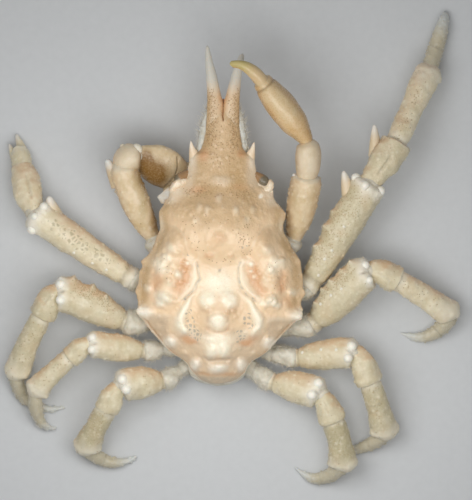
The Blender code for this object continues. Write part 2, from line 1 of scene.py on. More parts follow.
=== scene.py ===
"""The looks of a life-size tylocarcinus, a small horned spider crab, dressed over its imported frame.

Sizes are in millimetres until a mesh is made. +Z is up, +Y runs along the body to the two horns, and the
origin is on the floor under the middle of the breastplate, as in the frame. Every plate is a surface on a
grid of rows along it and columns round it, moved along its own normals for bosses, grooves and pits. Numbers
kept on its points, called marks here, tell the finish where the shell is cream, orange, grey or white.
"""

import logging
from dataclasses import dataclass, field
from enum import Enum

import bpy
import numpy as np
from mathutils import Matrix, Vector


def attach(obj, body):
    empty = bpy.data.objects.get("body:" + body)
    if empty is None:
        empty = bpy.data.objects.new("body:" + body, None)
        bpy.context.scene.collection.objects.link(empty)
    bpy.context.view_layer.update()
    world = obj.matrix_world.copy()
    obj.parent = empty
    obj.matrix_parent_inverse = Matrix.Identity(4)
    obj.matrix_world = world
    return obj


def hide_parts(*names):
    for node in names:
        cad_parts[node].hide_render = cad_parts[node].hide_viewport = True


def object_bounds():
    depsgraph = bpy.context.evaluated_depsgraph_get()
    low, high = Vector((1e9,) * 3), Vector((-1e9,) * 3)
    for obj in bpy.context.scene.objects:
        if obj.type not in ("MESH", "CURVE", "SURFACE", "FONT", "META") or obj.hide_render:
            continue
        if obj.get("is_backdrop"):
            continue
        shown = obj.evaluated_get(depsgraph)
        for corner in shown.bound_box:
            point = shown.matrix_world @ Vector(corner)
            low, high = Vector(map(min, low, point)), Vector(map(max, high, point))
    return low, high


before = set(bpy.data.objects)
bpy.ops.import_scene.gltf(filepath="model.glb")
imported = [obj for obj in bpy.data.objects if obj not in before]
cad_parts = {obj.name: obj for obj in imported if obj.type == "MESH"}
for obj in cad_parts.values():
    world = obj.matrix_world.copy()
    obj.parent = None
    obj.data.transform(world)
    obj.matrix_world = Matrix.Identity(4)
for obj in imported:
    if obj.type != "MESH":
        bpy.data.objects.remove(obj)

MM = 0.001
FLOOR_CLEARANCE = 0.005
PICTURE = (472, 500)
SENSOR = 36.0
CHITIN_IOR = 1.5
FINE_GRAIN = 0.16
DOTS_ALONG_A_LINE = 48
SPINE_ROOT = 0.8
BRISTLE_RADIUS = 0.02
TUFT_PATCH = 0.003
RGBA = {"data_type": "RGBA"}
PRODUCT = {"operation": "MULTIPLY"}
CLAMPED_PRODUCT = {"operation": "MULTIPLY", "use_clamp": True}
log = logging.getLogger("tylocarcinus")

Point = tuple[float, float, float]
Table = tuple[tuple[float, ...], ...]


class Slot(Enum):
    """Names of the material slots that each finish carries."""

    SHELL = "shell"
    PALE = "pale_shell"
    HORNY = "horny_finger"
    EYE = "eye"


class Side(Enum):
    """The two sides of the body, with the sign of X on each."""

    LEFT = -1.0
    RIGHT = 1.0

    @property
    def label(self) -> str:
        """The side's name as the nodes carry it."""
        return self.name.lower()

    def place(self, point: Point) -> np.ndarray:
        """A point given for the right side, put on this side."""
        return np.array((point[0] * self.value, point[1], point[2]))


def unit(vector: np.ndarray) -> np.ndarray:
    """The vector over its own length."""
    vector = np.asarray(vector, float)
    return vector / np.maximum(np.linalg.norm(vector, axis=-1, keepdims=True), 1e-9)


def smooth(low: float, high: float, value: np.ndarray) -> np.ndarray:
    """The step 3t^2 - 2t^3, where t runs from 0 at low to 1 at high."""
    t = np.clip((value - low) / (high - low), 0.0, 1.0)
    return t * t * (3 - 2 * t)


def bell(value: np.ndarray, width: float) -> np.ndarray:
    """The bell curve exp(-(value / width)^2)."""
    return np.exp(-((value / width) ** 2))


def through(table: Table, t: np.ndarray) -> np.ndarray:
    """The smooth curve through a table's points, which never swings past them.

    A cubic between neighbouring knots, whose slope at a knot is the harmonic mean of the two beside it.

    Args:
        table: Rows of (place, value, ...), in rising order of place.
        t: The places asked for, in an array of any shape.

    Returns:
        An array of t's shape, with one more axis where the table has more than one value to a row.
    """
    knots = np.array(table, float)
    x, y = knots[:, 0], knots[:, 1:]
    rise = np.diff(y, axis=0) / np.diff(x)[:, None]
    near, far = rise[:-1], rise[1:]
    same_way = near * far > 0
    middle = np.where(same_way, 2 * near * far / np.where(same_way, near + far, 1.0), 0.0)
    slope = np.concatenate([rise[:1], middle, rise[-1:]])
    places = np.asarray(t, float)
    flat = places.reshape(-1)
    i = np.clip(np.searchsorted(x, flat, side="right") - 1, 0, len(x) - 2)
    step = (x[i + 1] - x[i])[:, None]
    s = np.clip((flat - x[i])[:, None] / step, 0.0, 1.0)
    found = (1 + 2 * s) * (1 - s) ** 2 * y[i] + s * (1 - s) ** 2 * step * slope[i]
    found += s * s * (3 - 2 * s) * y[i + 1] + s * s * (s - 1) * step * slope[i + 1]
    return found[:, 0].reshape(places.shape) if y.shape[1] == 1 else found.reshape(*places.shape, -1)


def bend(start: np.ndarray, middle: np.ndarray, end: np.ndarray, steps: int) -> np.ndarray:
    """Points of the curve (1-t)^2 start + 2t(1-t) middle + t^2 end."""
    t = np.linspace(0, 1, steps)[:, None]
    start, middle, end = (np.array(p, float) for p in (start, middle, end))
    return (1 - t) ** 2 * start + 2 * t * (1 - t) * middle + t * t * end


def lattice(cells: np.ndarray, seed: int) -> np.ndarray:
    """A number from 0 to 1, fixed for each cell: the fraction of a large sine of its weighted place."""
    weighted = cells @ np.array((127.1, 311.7, 74.7)) + seed * 19.19
    return np.mod(np.sin(weighted) * 43758.5453, 1.0)


def rolling(points: np.ndarray, size: float, seed: int) -> np.ndarray:
    """Soft hills and hollows from -1 to 1, about one to a size: a lattice's corners, blended smoothly."""
    place = points / size
    base = np.floor(place)
    part = place - base
    part = part * part * (3 - 2 * part)
    total = np.zeros(points.shape[:-1])
    for corner in np.ndindex(2, 2, 2):
        share = np.prod(np.where(np.array(corner) == 1, part, 1 - part), axis=-1)
        total += share * lattice(base + corner, seed)
    return total * 2 - 1


def pebbles(points: np.ndarray, size: float, seed: int) -> tuple[np.ndarray, np.ndarray]:
    """Distance to the nearest of a scatter of seeds, one jittered in each cell of a lattice.

    Args:
        points: Places in millimetres.
        size: The cells' size.
        seed: Which scatter.

    Returns:
        The distance in cells, and the nearest seed's own number from 0 to 1.
    """
    place = points / size
    base = np.floor(place)
    nearest = np.full(points.shape[:-1], 9.0)
    number = np.zeros(points.shape[:-1])
    for shift in np.ndindex(3, 3, 3):
        cell = base + np.array(shift) - 1
        jitter = np.stack([lattice(cell, seed + k) for k in (1, 2, 3)], -1)
        distance = np.linalg.norm(cell + jitter - place, axis=-1)
        closer = distance < nearest
        nearest = np.where(closer, distance, nearest)
        number = np.where(closer, lattice(cell, seed + 4), number)
    return nearest, number


def line_distance(x: np.ndarray, y: np.ndarray, line: Table) -> np.ndarray:
    """The distance, seen from above, to a smooth line through a few points."""
    knots = tuple((i / (len(line) - 1), *point) for i, point in enumerate(line))
    dots = through(knots, np.linspace(0, 1, DOTS_ALONG_A_LINE))
    apart = np.hypot(x[..., None] - dots[:, 0], y[..., None] - dots[:, 1])
    return apart.min(-1)


@dataclass
class Form:
    """Closed surfaces: points in millimetres, faces of four and of three, and marks on the points."""

    points: np.ndarray
    quads: np.ndarray
    fans: np.ndarray
    marks: dict[str, np.ndarray] = field(default_factory=dict)

    def volume(self) -> float:
        """Six times the volume: the sum of the triangles' triple products, over 0 where faces point out."""
        q = self.quads
        corners = np.concatenate([q[:, :3], q[:, [0, 2, 3]], self.fans])
        a, b, c = (self.points[corners[:, i]] for i in range(3))
        return float(np.einsum("ij,ij->i", a, np.cross(b, c)).sum())

    def outward(self) -> "Form":
        """The same form with its faces pointing outwards."""
        if self.volume() < 0:
            self.quads, self.fans = self.quads[:, ::-1], self.fans[:, ::-1]
        return self

    def joined(self, *others: "Form") -> "Form":
        """This form and others as one."""
        forms = [self, *others]
        names = sorted({name for form in forms for name in form.marks})
        starts = np.cumsum([0, *(len(form.points) for form in forms)])
        return Form(
            np.concatenate([form.points for form in forms]),
            np.concatenate([form.quads + start for form, start in zip(forms, starts)]),
            np.concatenate([form.fans + start for form, start in zip(forms, starts)]),
            {n: np.concatenate([f.marks.get(n, np.zeros(len(f.points))) for f in forms]) for n in names},
        )


@dataclass
class Skin:
    """One closed surface on a grid: points[row, column], closed round its columns and by a point at each end.

    along is each row's place from joint to joint. turn is each column's angle, 0 on one flank and a quarter
    turn on the upper face.
    """

    points: np.ndarray
    along: np.ndarray
    turn: np.ndarray
    marks: dict[str, np.ndarray] = field(default_factory=dict)

    @property
    def flank(self) -> np.ndarray:
        """How squarely each column faces sideways: |cos(turn)|."""
        return np.abs(np.cos(self.turn))

    def normals(self) -> np.ndarray:
        """Unit normals that point outwards: the cross product of the differences round and along the grid."""
        lengthwise = np.gradient(self.points, axis=0)
        crosswise = np.roll(self.points, -1, 1) - np.roll(self.points, 1, 1)
        found = unit(np.cross(crosswise, lengthwise))
        outward = self.points - self.points.mean(1, keepdims=True)
        return found * (1.0 if np.einsum("ijk,ijk->", found, outward) > 0 else -1.0)

    def push(self, height: np.ndarray) -> None:
        """Moves the surface along its normals by a height in millimetres."""
        self.points = self.points + self.normals() * height[..., None]

    def mark(self, name: str, value: np.ndarray) -> None:
        """Keeps the larger of a mark's old and new value at each point, from 0 to 1."""
        value = np.clip(np.broadcast_to(value, self.points.shape[:2]), 0, 1)
        self.marks[name] = np.maximum(self.marks.get(name, 0.0), value)

    def roughen(self, seed: int, swell: float = 0.05, grains: float = 0.03, size: float = 0.42,
                edge: float = 0.0, warts: float = 0.0) -> None:
        """Gives the shell its uneven surface.

        Hills stand 1.5 mm and 0.5 mm apart, low grains a size apart and warts 0.85 mm apart, and both are
        sharper along the flanks, where |cos(turn)| nears 1.

        Args:
            seed: Which scatter.
            swell: The hills' height.
            grains: The grains' height.
            size: The grains' spacing.
            edge: How much higher grains stand on the flanks.
            warts: The warts' height.
        """
        height = swell * rolling(self.points, 1.5, seed) + swell * 0.6 * rolling(self.points, 0.5, seed + 7)
        apart, number = pebbles(self.points, size, seed)
        grain = (1 - smooth(0.08, 0.5, apart)) * smooth(0.45, 0.6, number)
        wide, odd = pebbles(self.points, 0.85, seed + 11)
        wart = (1 - smooth(0.05, 0.3, wide)) * smooth(0.35, 0.45, odd) * (warts > 0)
        self.mark("grain", np.maximum(0.7 * grain, wart))
        flank = smooth(0.72, 0.95, self.flank) if edge else 0.0
        self.push(height + (grains + edge * flank) * grain + (warts + 0.8 * edge * flank) * wart)

    def form(self) -> Form:
        """The grid as a closed form, kept just above the floor."""
        rows, columns = self.points.shape[:2]
        ring = np.arange(columns)
        after = np.roll(ring, -1)
        base = (np.arange(rows - 1) * columns)[:, None]
        beyond = base + columns
        quads = np.stack([base + ring, base + after, beyond + after, beyond + ring], -1).reshape(-1, 4)
        start, end, last = rows * columns, rows * columns + 1, (rows - 1) * columns
        near = np.stack([np.full(columns, start), after, ring], -1)
        far = np.stack([np.full(columns, end), last + ring, last + after], -1)
        poles = self.points[:1].mean(1), self.points[-1:].mean(1)
        points = np.concatenate([self.points.reshape(-1, 3), *poles])
        points[:, 2] = np.maximum(points[:, 2], FLOOR_CLEARANCE)
        marks = {
            name: np.concatenate([mark.reshape(-1), [mark[0].mean(), mark[-1].mean()]])
            for name, mark in self.marks.items()
        }
        return Form(points, quads, np.concatenate([near, far]), marks).outward()


def tube(path: np.ndarray, halves: np.ndarray, columns: int, upright: Point = (0, 0, 1),
         across: Point | None = None, along: np.ndarray | None = None) -> Skin:
    """A surface with an elliptic section carried along a path.

    A point is path + across * half width * cos(turn) + rise * half height * sin(turn).

    Args:
        path: The section's centres.
        halves: Half width and half height at each.
        columns: Points round each section.
        upright: The way that the half height takes, as nearly as the path lets it.
        across: The way of the half width, where it is the same all along.
        along: Each row's place from joint to joint.

    Returns:
        The skin.
    """
    ahead = unit(np.gradient(path, axis=0))
    side = np.broadcast_to(np.array(across, float), path.shape) if across else unit(np.cross(ahead, upright))
    rise = unit(np.cross(side, ahead))
    turn = np.arange(columns) * 2 * np.pi / columns
    points = (
        path[:, None]
        + side[:, None] * (halves[:, :1] * np.cos(turn))[..., None]
        + rise[:, None] * (halves[:, 1:] * np.sin(turn))[..., None]
    )
    return Skin(points, np.linspace(0, 1, len(path)) if along is None else along, turn)


def round_ends(t: np.ndarray, near: float, far: float) -> np.ndarray:
    """A factor that closes both ends of a tube as quarter circles, near and far long as shares of it."""
    first, last = np.clip(t / near + 0.02, 0, 1), np.clip((1.002 - t) / far, 0, 1)
    return np.sqrt(1 - (1 - first) ** 2) * np.sqrt(1 - (1 - last) ** 2)


def spike(root: Point, tip: Point, radius: float, columns: int, rows: int, curve: float) -> Form:
    """A round tapering spine with a blunt point: its radius falls as (1 - t)^(1/curve) to a tenth."""
    root, tip = np.array(root, float), np.array(tip, float)
    t = 1 - (1 - np.linspace(0, 1, rows)) ** 1.6
    taper = radius * (0.1 + 0.9 * (1 - t) ** (1 / curve)) * np.sqrt(np.clip((1.02 - t) / 0.06, 0, 1))
    upright = (0, 1, 0) if abs(unit(tip - root)[2]) > 0.8 else (0, 0, 1)
    skin = tube(root + t[:, None] * (tip - root), np.stack([taper, taper], 1), columns, upright)
    skin.mark("tip", smooth(0.45, 1.0, t)[:, None])
    return skin.form()


def linear(code: str, alpha: float = 1.0) -> tuple[float, float, float, float]:
    """An sRGB hex value as the linear colour that Blender's sockets take."""
    parts = np.array([int(code[i : i + 2], 16) / 255 for i in (0, 2, 4)])
    found = np.where(parts <= 0.04045, parts / 12.92, ((parts + 0.055) / 1.055) ** 2.4)
    return (*map(float, found), alpha)


def wire(tree: bpy.types.NodeTree, node: bpy.types.Node, inputs: dict) -> None:
    """Sets a node's sockets, by name or place: nodes and outputs are linked, numbers and colours are kept."""
    for key, value in inputs.items():
        value = value.outputs[0] if isinstance(value, bpy.types.Node) else value
        if isinstance(value, bpy.types.NodeSocket):
            tree.links.new(value, node.inputs[key])
        else:
            node.inputs[key].default_value = value


def add(tree: bpy.types.NodeTree, kind: str, settings: dict | None,
        inputs: dict | None = None) -> bpy.types.Node:
    """Adds one node to a tree.

    Args:
        tree: The material's nodes.
        kind: The node's type, without its first word.
        settings: Its properties.
        inputs: Numbers, colours, nodes or their outputs for its sockets, by name or place.

    Returns:
        The node.
    """
    made = tree.nodes.new("ShaderNode" + kind)
    for key, value in (settings or {}).items():
        setattr(made, key, value)
    wire(tree, made, inputs or {})
    return made


def blank(name: str) -> tuple[bpy.types.Material, bpy.types.NodeTree, bpy.types.Node, bpy.types.NodeSocket]:
    """A new material, its nodes, its shader, and the place on the object."""
    made = bpy.data.materials.new(name)
    made.use_nodes = True
    tree = made.node_tree
    return made, tree, tree.nodes["Principled BSDF"], add(tree, "TexCoord", None).outputs["Object"]


def scale_of(size: float) -> float:
    """The scale that gives a texture on Object coordinates a feature of so many millimetres."""
    return 1 / (size * MM)


@dataclass(frozen=True)
class Tint:
    """A colour that the shell takes where a mark says so, broken up a little by noise."""

    mark: str
    colour: str
    strength: float = 1.0


@dataclass(frozen=True)
class Cuticle:
    """Crab shell: chitin hardened with lime, uneven, faintly translucent and wet.

    The eye sees a soft mottle of two tones, pale grains, dark pores where hairs have gone, netted pits, and
    small sharp glints from the film of water.
    """

    name: str
    base: str
    blotch: str
    slot: Slot
    tints: tuple[Tint, ...] = ()
    blotch_size: float = 1.3
    pore: str = "8c6a4c"
    pore_size: float = 0.2
    net: str = "8d7a62"
    net_size: float = 0.34
    roughness: float = 0.4
    clear: float = 0.12

    def build(self) -> bpy.types.Material:
        """Makes the material once and returns it."""
        if found := bpy.data.materials.get(self.name):
            return found
        made, tree, shader, place = blank(self.name)
        mottle = add(tree, "TexNoise", None,
                     {"Vector": place, "Scale": scale_of(self.blotch_size), "Detail": 5.0, "Roughness": 0.62})
        fine = add(tree, "TexNoise", None, {"Vector": place, "Scale": scale_of(FINE_GRAIN), "Detail": 3.0})
        share = add(tree, "MapRange", None, {"Value": mottle, "From Min": 0.38, "From Max": 0.66})
        colour = add(tree, "Mix", RGBA, {0: share, 6: linear(self.base), 7: linear(self.blotch)}).outputs[2]
        uneven = add(tree, "MapRange", None,
                     {"Value": fine, "From Min": 0.3, "From Max": 0.7, "To Min": 0.78, "To Max": 1.15})
        for tint in self.tints:
            mark = add(tree, "Attribute", {"attribute_name": tint.mark}).outputs["Fac"]
            strength = add(tree, "Math", CLAMPED_PRODUCT, {0: mark, 1: tint.strength})
            broken = add(tree, "Math", CLAMPED_PRODUCT, {0: strength, 1: uneven})
            colour = add(tree, "Mix", RGBA, {0: broken, 6: colour, 7: linear(tint.colour)}).outputs[2]
        pores = self.dots(tree, place, "pepper", self.pore_size, "F1", (0.52, 0.3))
        nets = self.dots(tree, place, "net", self.net_size, "DISTANCE_TO_EDGE", (0.05, 0.32))
        for spots, tone in ((pores, self.pore), (nets, self.net)):
            colour = add(tree, "Mix", RGBA, {0: spots, 6: colour, 7: linear(tone)}).outputs[2]
        sunk = add(tree, "Math", {"operation": "MULTIPLY_ADD"}, {0: nets, 1: 0.5, 2: pores})
        height = add(tree, "Math", {"operation": "MULTIPLY_ADD"}, {0: sunk, 1: -0.6, 2: fine})
        low, high = self.roughness - 0.1, self.roughness + 0.1
        gloss = add(tree, "MapRange", None,
                    {"Value": fine, "From Min": 0.3, "From Max": 0.7, "To Min": low, "To Max": high})
        wire(tree, shader, {
            "Base Color": colour, "Roughness": gloss, "IOR": CHITIN_IOR,
            "Normal": add(tree, "Bump", None, {"Height": height, "Distance": 0.06 * MM, "Strength": 0.7}),
            "Subsurface Weight": self.clear, "Subsurface Radius": (1.0, 0.62, 0.4),
            "Subsurface Scale": 0.2 * MM, "Coat Weight": 0.22, "Coat Roughness": 0.12,
        })
        return made

    @staticmethod
    def dots(tree: bpy.types.NodeTree, place: bpy.types.NodeSocket, mark: str, size: float,
             feature: str, edge: tuple[float, float]) -> bpy.types.NodeSocket:
        """Spots in the cells of a Voronoi pattern: the stronger the mark, the more of the cells carry one.

        Args:
            tree: The material's nodes.
            place: Object coordinates.
            mark: The mark that says where.
            size: The cells' size in millimetres.
            feature: F1 for round spots, DISTANCE_TO_EDGE for angular pits parted by narrow walls.
            edge: Distances where a spot starts and is full.

        Returns:
            The spots' strength.
        """
        where = {"Vector": place, "Scale": scale_of(size), "Randomness": 0.8}
        cells = add(tree, "TexVoronoi", None, where)
        shape = add(tree, "TexVoronoi", {"feature": feature}, where)
        spot = add(tree, "MapRange", {"interpolation_type": "SMOOTHSTEP"},
                   {"Value": shape.outputs["Distance"], "From Min": edge[0], "From Max": edge[1]})
        here = add(tree, "Attribute", {"attribute_name": mark}).outputs["Fac"]
        kept = add(tree, "Math", {"operation": "LESS_THAN"}, {0: cells.outputs["Color"], 1: here})
        some = add(tree, "Math", PRODUCT, {0: spot, 1: kept})
        return add(tree, "Math", PRODUCT, {0: some, 1: 0.75}).outputs[0]


@dataclass(frozen=True)
class Glassy:
    """Smooth horn, arthrodial skin, cornea or hair: a clear-edged stuff of two tones along a mark.

    The eye sees light going a little way in, and a wet shine.
    """

    name: str
    root: str
    tip: str
    slot: Slot
    mark: str = "tip"
    grain_size: float = 0.3
    roughness: float = 0.3
    clear: float = 0.3

    def build(self) -> bpy.types.Material:
        """Makes the material once and returns it."""
        if found := bpy.data.materials.get(self.name):
            return found
        made, tree, shader, place = blank(self.name)
        cloud = add(tree, "TexNoise", None,
                    {"Vector": place, "Scale": scale_of(self.grain_size), "Detail": 4.0})
        mark = add(tree, "Attribute", {"attribute_name": self.mark}).outputs["Fac"]
        shade = add(tree, "MapRange", None,
                    {"Value": cloud, "From Min": 0.3, "From Max": 0.7, "To Min": -0.16, "To Max": 0.16})
        share = add(tree, "Math", {"operation": "ADD", "use_clamp": True}, {0: mark, 1: shade})
        colour = add(tree, "Mix", RGBA, {0: share, 6: linear(self.root), 7: linear(self.tip)})
        wire(tree, shader, {
            "Base Color": colour.outputs[2],
            "Normal": add(tree, "Bump", None, {"Height": cloud, "Distance": 0.03 * MM, "Strength": 0.4}),
            "Roughness": self.roughness, "IOR": CHITIN_IOR, "Subsurface Weight": self.clear,
            "Subsurface Radius": (1.0, 0.8, 0.6), "Subsurface Scale": 0.25 * MM,
        })
        return made


# Back plate: peach-cream chitin, tan in front, cream on its bosses, slate in its pits, rust-brown and grey
# painted shade in its hollows.
BACK_SHELL = Cuticle(
    "tan_back_shell", "f2d5af", "eacba4", Slot.SHELL,
    (
        Tint("tan", "c1a071", 0.92), Tint("dun", "c8b398", 0.75), Tint("orange", "d69f70", 0.75),
        Tint("rust", "c08e62", 0.62), Tint("cream", "fff3da", 1.0), Tint("grey", "9f9b90", 0.9),
        Tint("white", "fdf3e0", 0.95), Tint("grain", "f6dfc2", 0.3), Tint("tip", "cfcec5", 0.92),
    ),
    1.5, "a57f56", 0.15, "a9a292", 0.42, roughness=0.36, clear=0.12,
)
# Walking legs: greyish cream chitin with ivory knobs, peach along the front edge.
LEG_SHELL = Cuticle(
    "cream_leg_shell", "e9dec1", "dacca9", Slot.PALE,
    (
        Tint("shade", "b9ae8b", 0.9), Tint("front", "dcb288", 0.8), Tint("bone", "ebe4d3", 0.85),
        Tint("grain", "f8efda", 0.42), Tint("dark", "80715c", 0.8), Tint("knob", "faf6ea", 1.0),
        Tint("tip", "efebe2", 0.9),
    ),
    1.0, "b39c72", 0.16, "b3a582", 0.5, roughness=0.46, clear=0.1,
)
# Claw arms: the same chitin, warmer, honey brown where it is thin, with painted shade in the honey brown of
# the left palm, which lies low under its thigh.
ARM_SHELL = Cuticle(
    "honey_arm_shell", "e3ceac", "d5bd93", Slot.SHELL,
    (
        Tint("front", "cfa67c", 0.6), Tint("bone", "e4dcc9", 0.9), Tint("grain", "efe2c8", 0.45),
        Tint("honey", "866026", 0.97), Tint("olive", "a89668", 0.7), Tint("dark", "6d5535", 0.85),
        Tint("knob", "f6eedb", 1.0), Tint("tip", "e2e2dc", 0.95),
    ),
    1.1, "957a52", 0.2, roughness=0.42, clear=0.15,
)
# Right palm: smooth polished chitin, straw and honey, with a painted highlight on its upper face.
PALM_SHELL = Cuticle(
    "straw_palm_shell", "dcc095", "cda873", Slot.SHELL,
    (
        Tint("front", "c2925a", 0.45), Tint("light", "dcc59c", 0.8), Tint("bone", "e6d6bb", 0.8),
        Tint("dark", "8a683c", 0.8), Tint("knob", "f0e4ca", 0.9), Tint("honey", "c4a058", 0.9),
    ),
    1.5, "a98a5e", 0.3, roughness=0.3, clear=0.2,
)
# Breastplate, tail flap, hips: bare white chitin.
BONE_SHELL = Cuticle(
    "white_belly_shell", "dfdaca", "cfc7b2", Slot.PALE,
    (
        Tint("dark", "988c78", 0.8), Tint("front", "dcc6a8", 0.5), Tint("knob", "f6f2e8", 1.0),
        Tint("grain", "f2ede0", 0.4),
    ),
    1.0, "a89a84", 0.25, roughness=0.45, clear=0.2,
)
# Fingers: horn, olive yellow, pale at the point.
HORN = Glassy("ochre_finger_horn", "d6bc92", "c2b276", Slot.HORNY, roughness=0.26, clear=0.25)
# Leg claws: clear grey-white horn.
CLAW_HORN = Glassy("grey_claw_horn", "c6bda4", "d3d5d0", Slot.PALE, roughness=0.34, clear=0.25)
# Skin between plates: thin, white, puckered.
JOINT_SKIN = Glassy("white_joint_skin", "bdb49f", "dad3c2", Slot.PALE, "skin", 0.25, 0.45, 0.3)
# Eye: an amber stalk under a slate cornea, glossy.
CORNEA = Glassy("slate_cornea", "a27f59", "756c59", Slot.EYE, "cornea", 0.16, 0.16, 0.1)
# Hair: fine clear bristles, nearly white.
BRISTLE = Glassy("pale_bristle", "dbd3c2", "f2efe6", Slot.PALE, "tip", 0.5, 0.5, 0.0)


def piece(name: str, form: Form, finish: Cuticle | Glassy, node: str = "",
          uv: np.ndarray | None = None) -> None:
    """Makes a form a dressed mesh object that rides on the body, in the place of its node.

    Args:
        name: The piece's name.
        form: Its surfaces in millimetres.
        finish: What it is made of.
        node: The frame's node that it stands for, if any.
        uv: A place on the bake map for each point, for the coat.
    """
    mesh = bpy.data.meshes.new(name)
    mesh.from_pydata((form.points * MM).tolist(), [], form.quads.tolist() + form.fans.tolist())
    mesh.polygons.foreach_set("use_smooth", np.ones(len(mesh.polygons), bool))
    for mark, value in form.marks.items():
        mesh.attributes.new(mark, "FLOAT", "POINT").data.foreach_set("value", value.astype(np.float32))
    if uv is not None:
        corners = np.empty(len(mesh.loops), np.int32)
        mesh.loops.foreach_get("vertex_index", corners)
        mesh.uv_layers.new(name="OFBake").data.foreach_set("uv", uv[corners].astype(np.float32).reshape(-1))
    mesh.materials.append(finish.build())
    made = bpy.data.objects.new(name, mesh)
    bpy.context.scene.collection.objects.link(made)
    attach(made, "root")
    if node:
        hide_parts(node)
    log.info("%s: %d points, %d faces", name, len(form.points), len(mesh.polygons))


def cover(node: str, form: Form, finish: Cuticle | Glassy, kind: str = "shell") -> None:
    """Makes the piece that is shown in the place of one node, and is named for it and its kind."""
    piece(f"{node}_{kind}", form, finish, node)


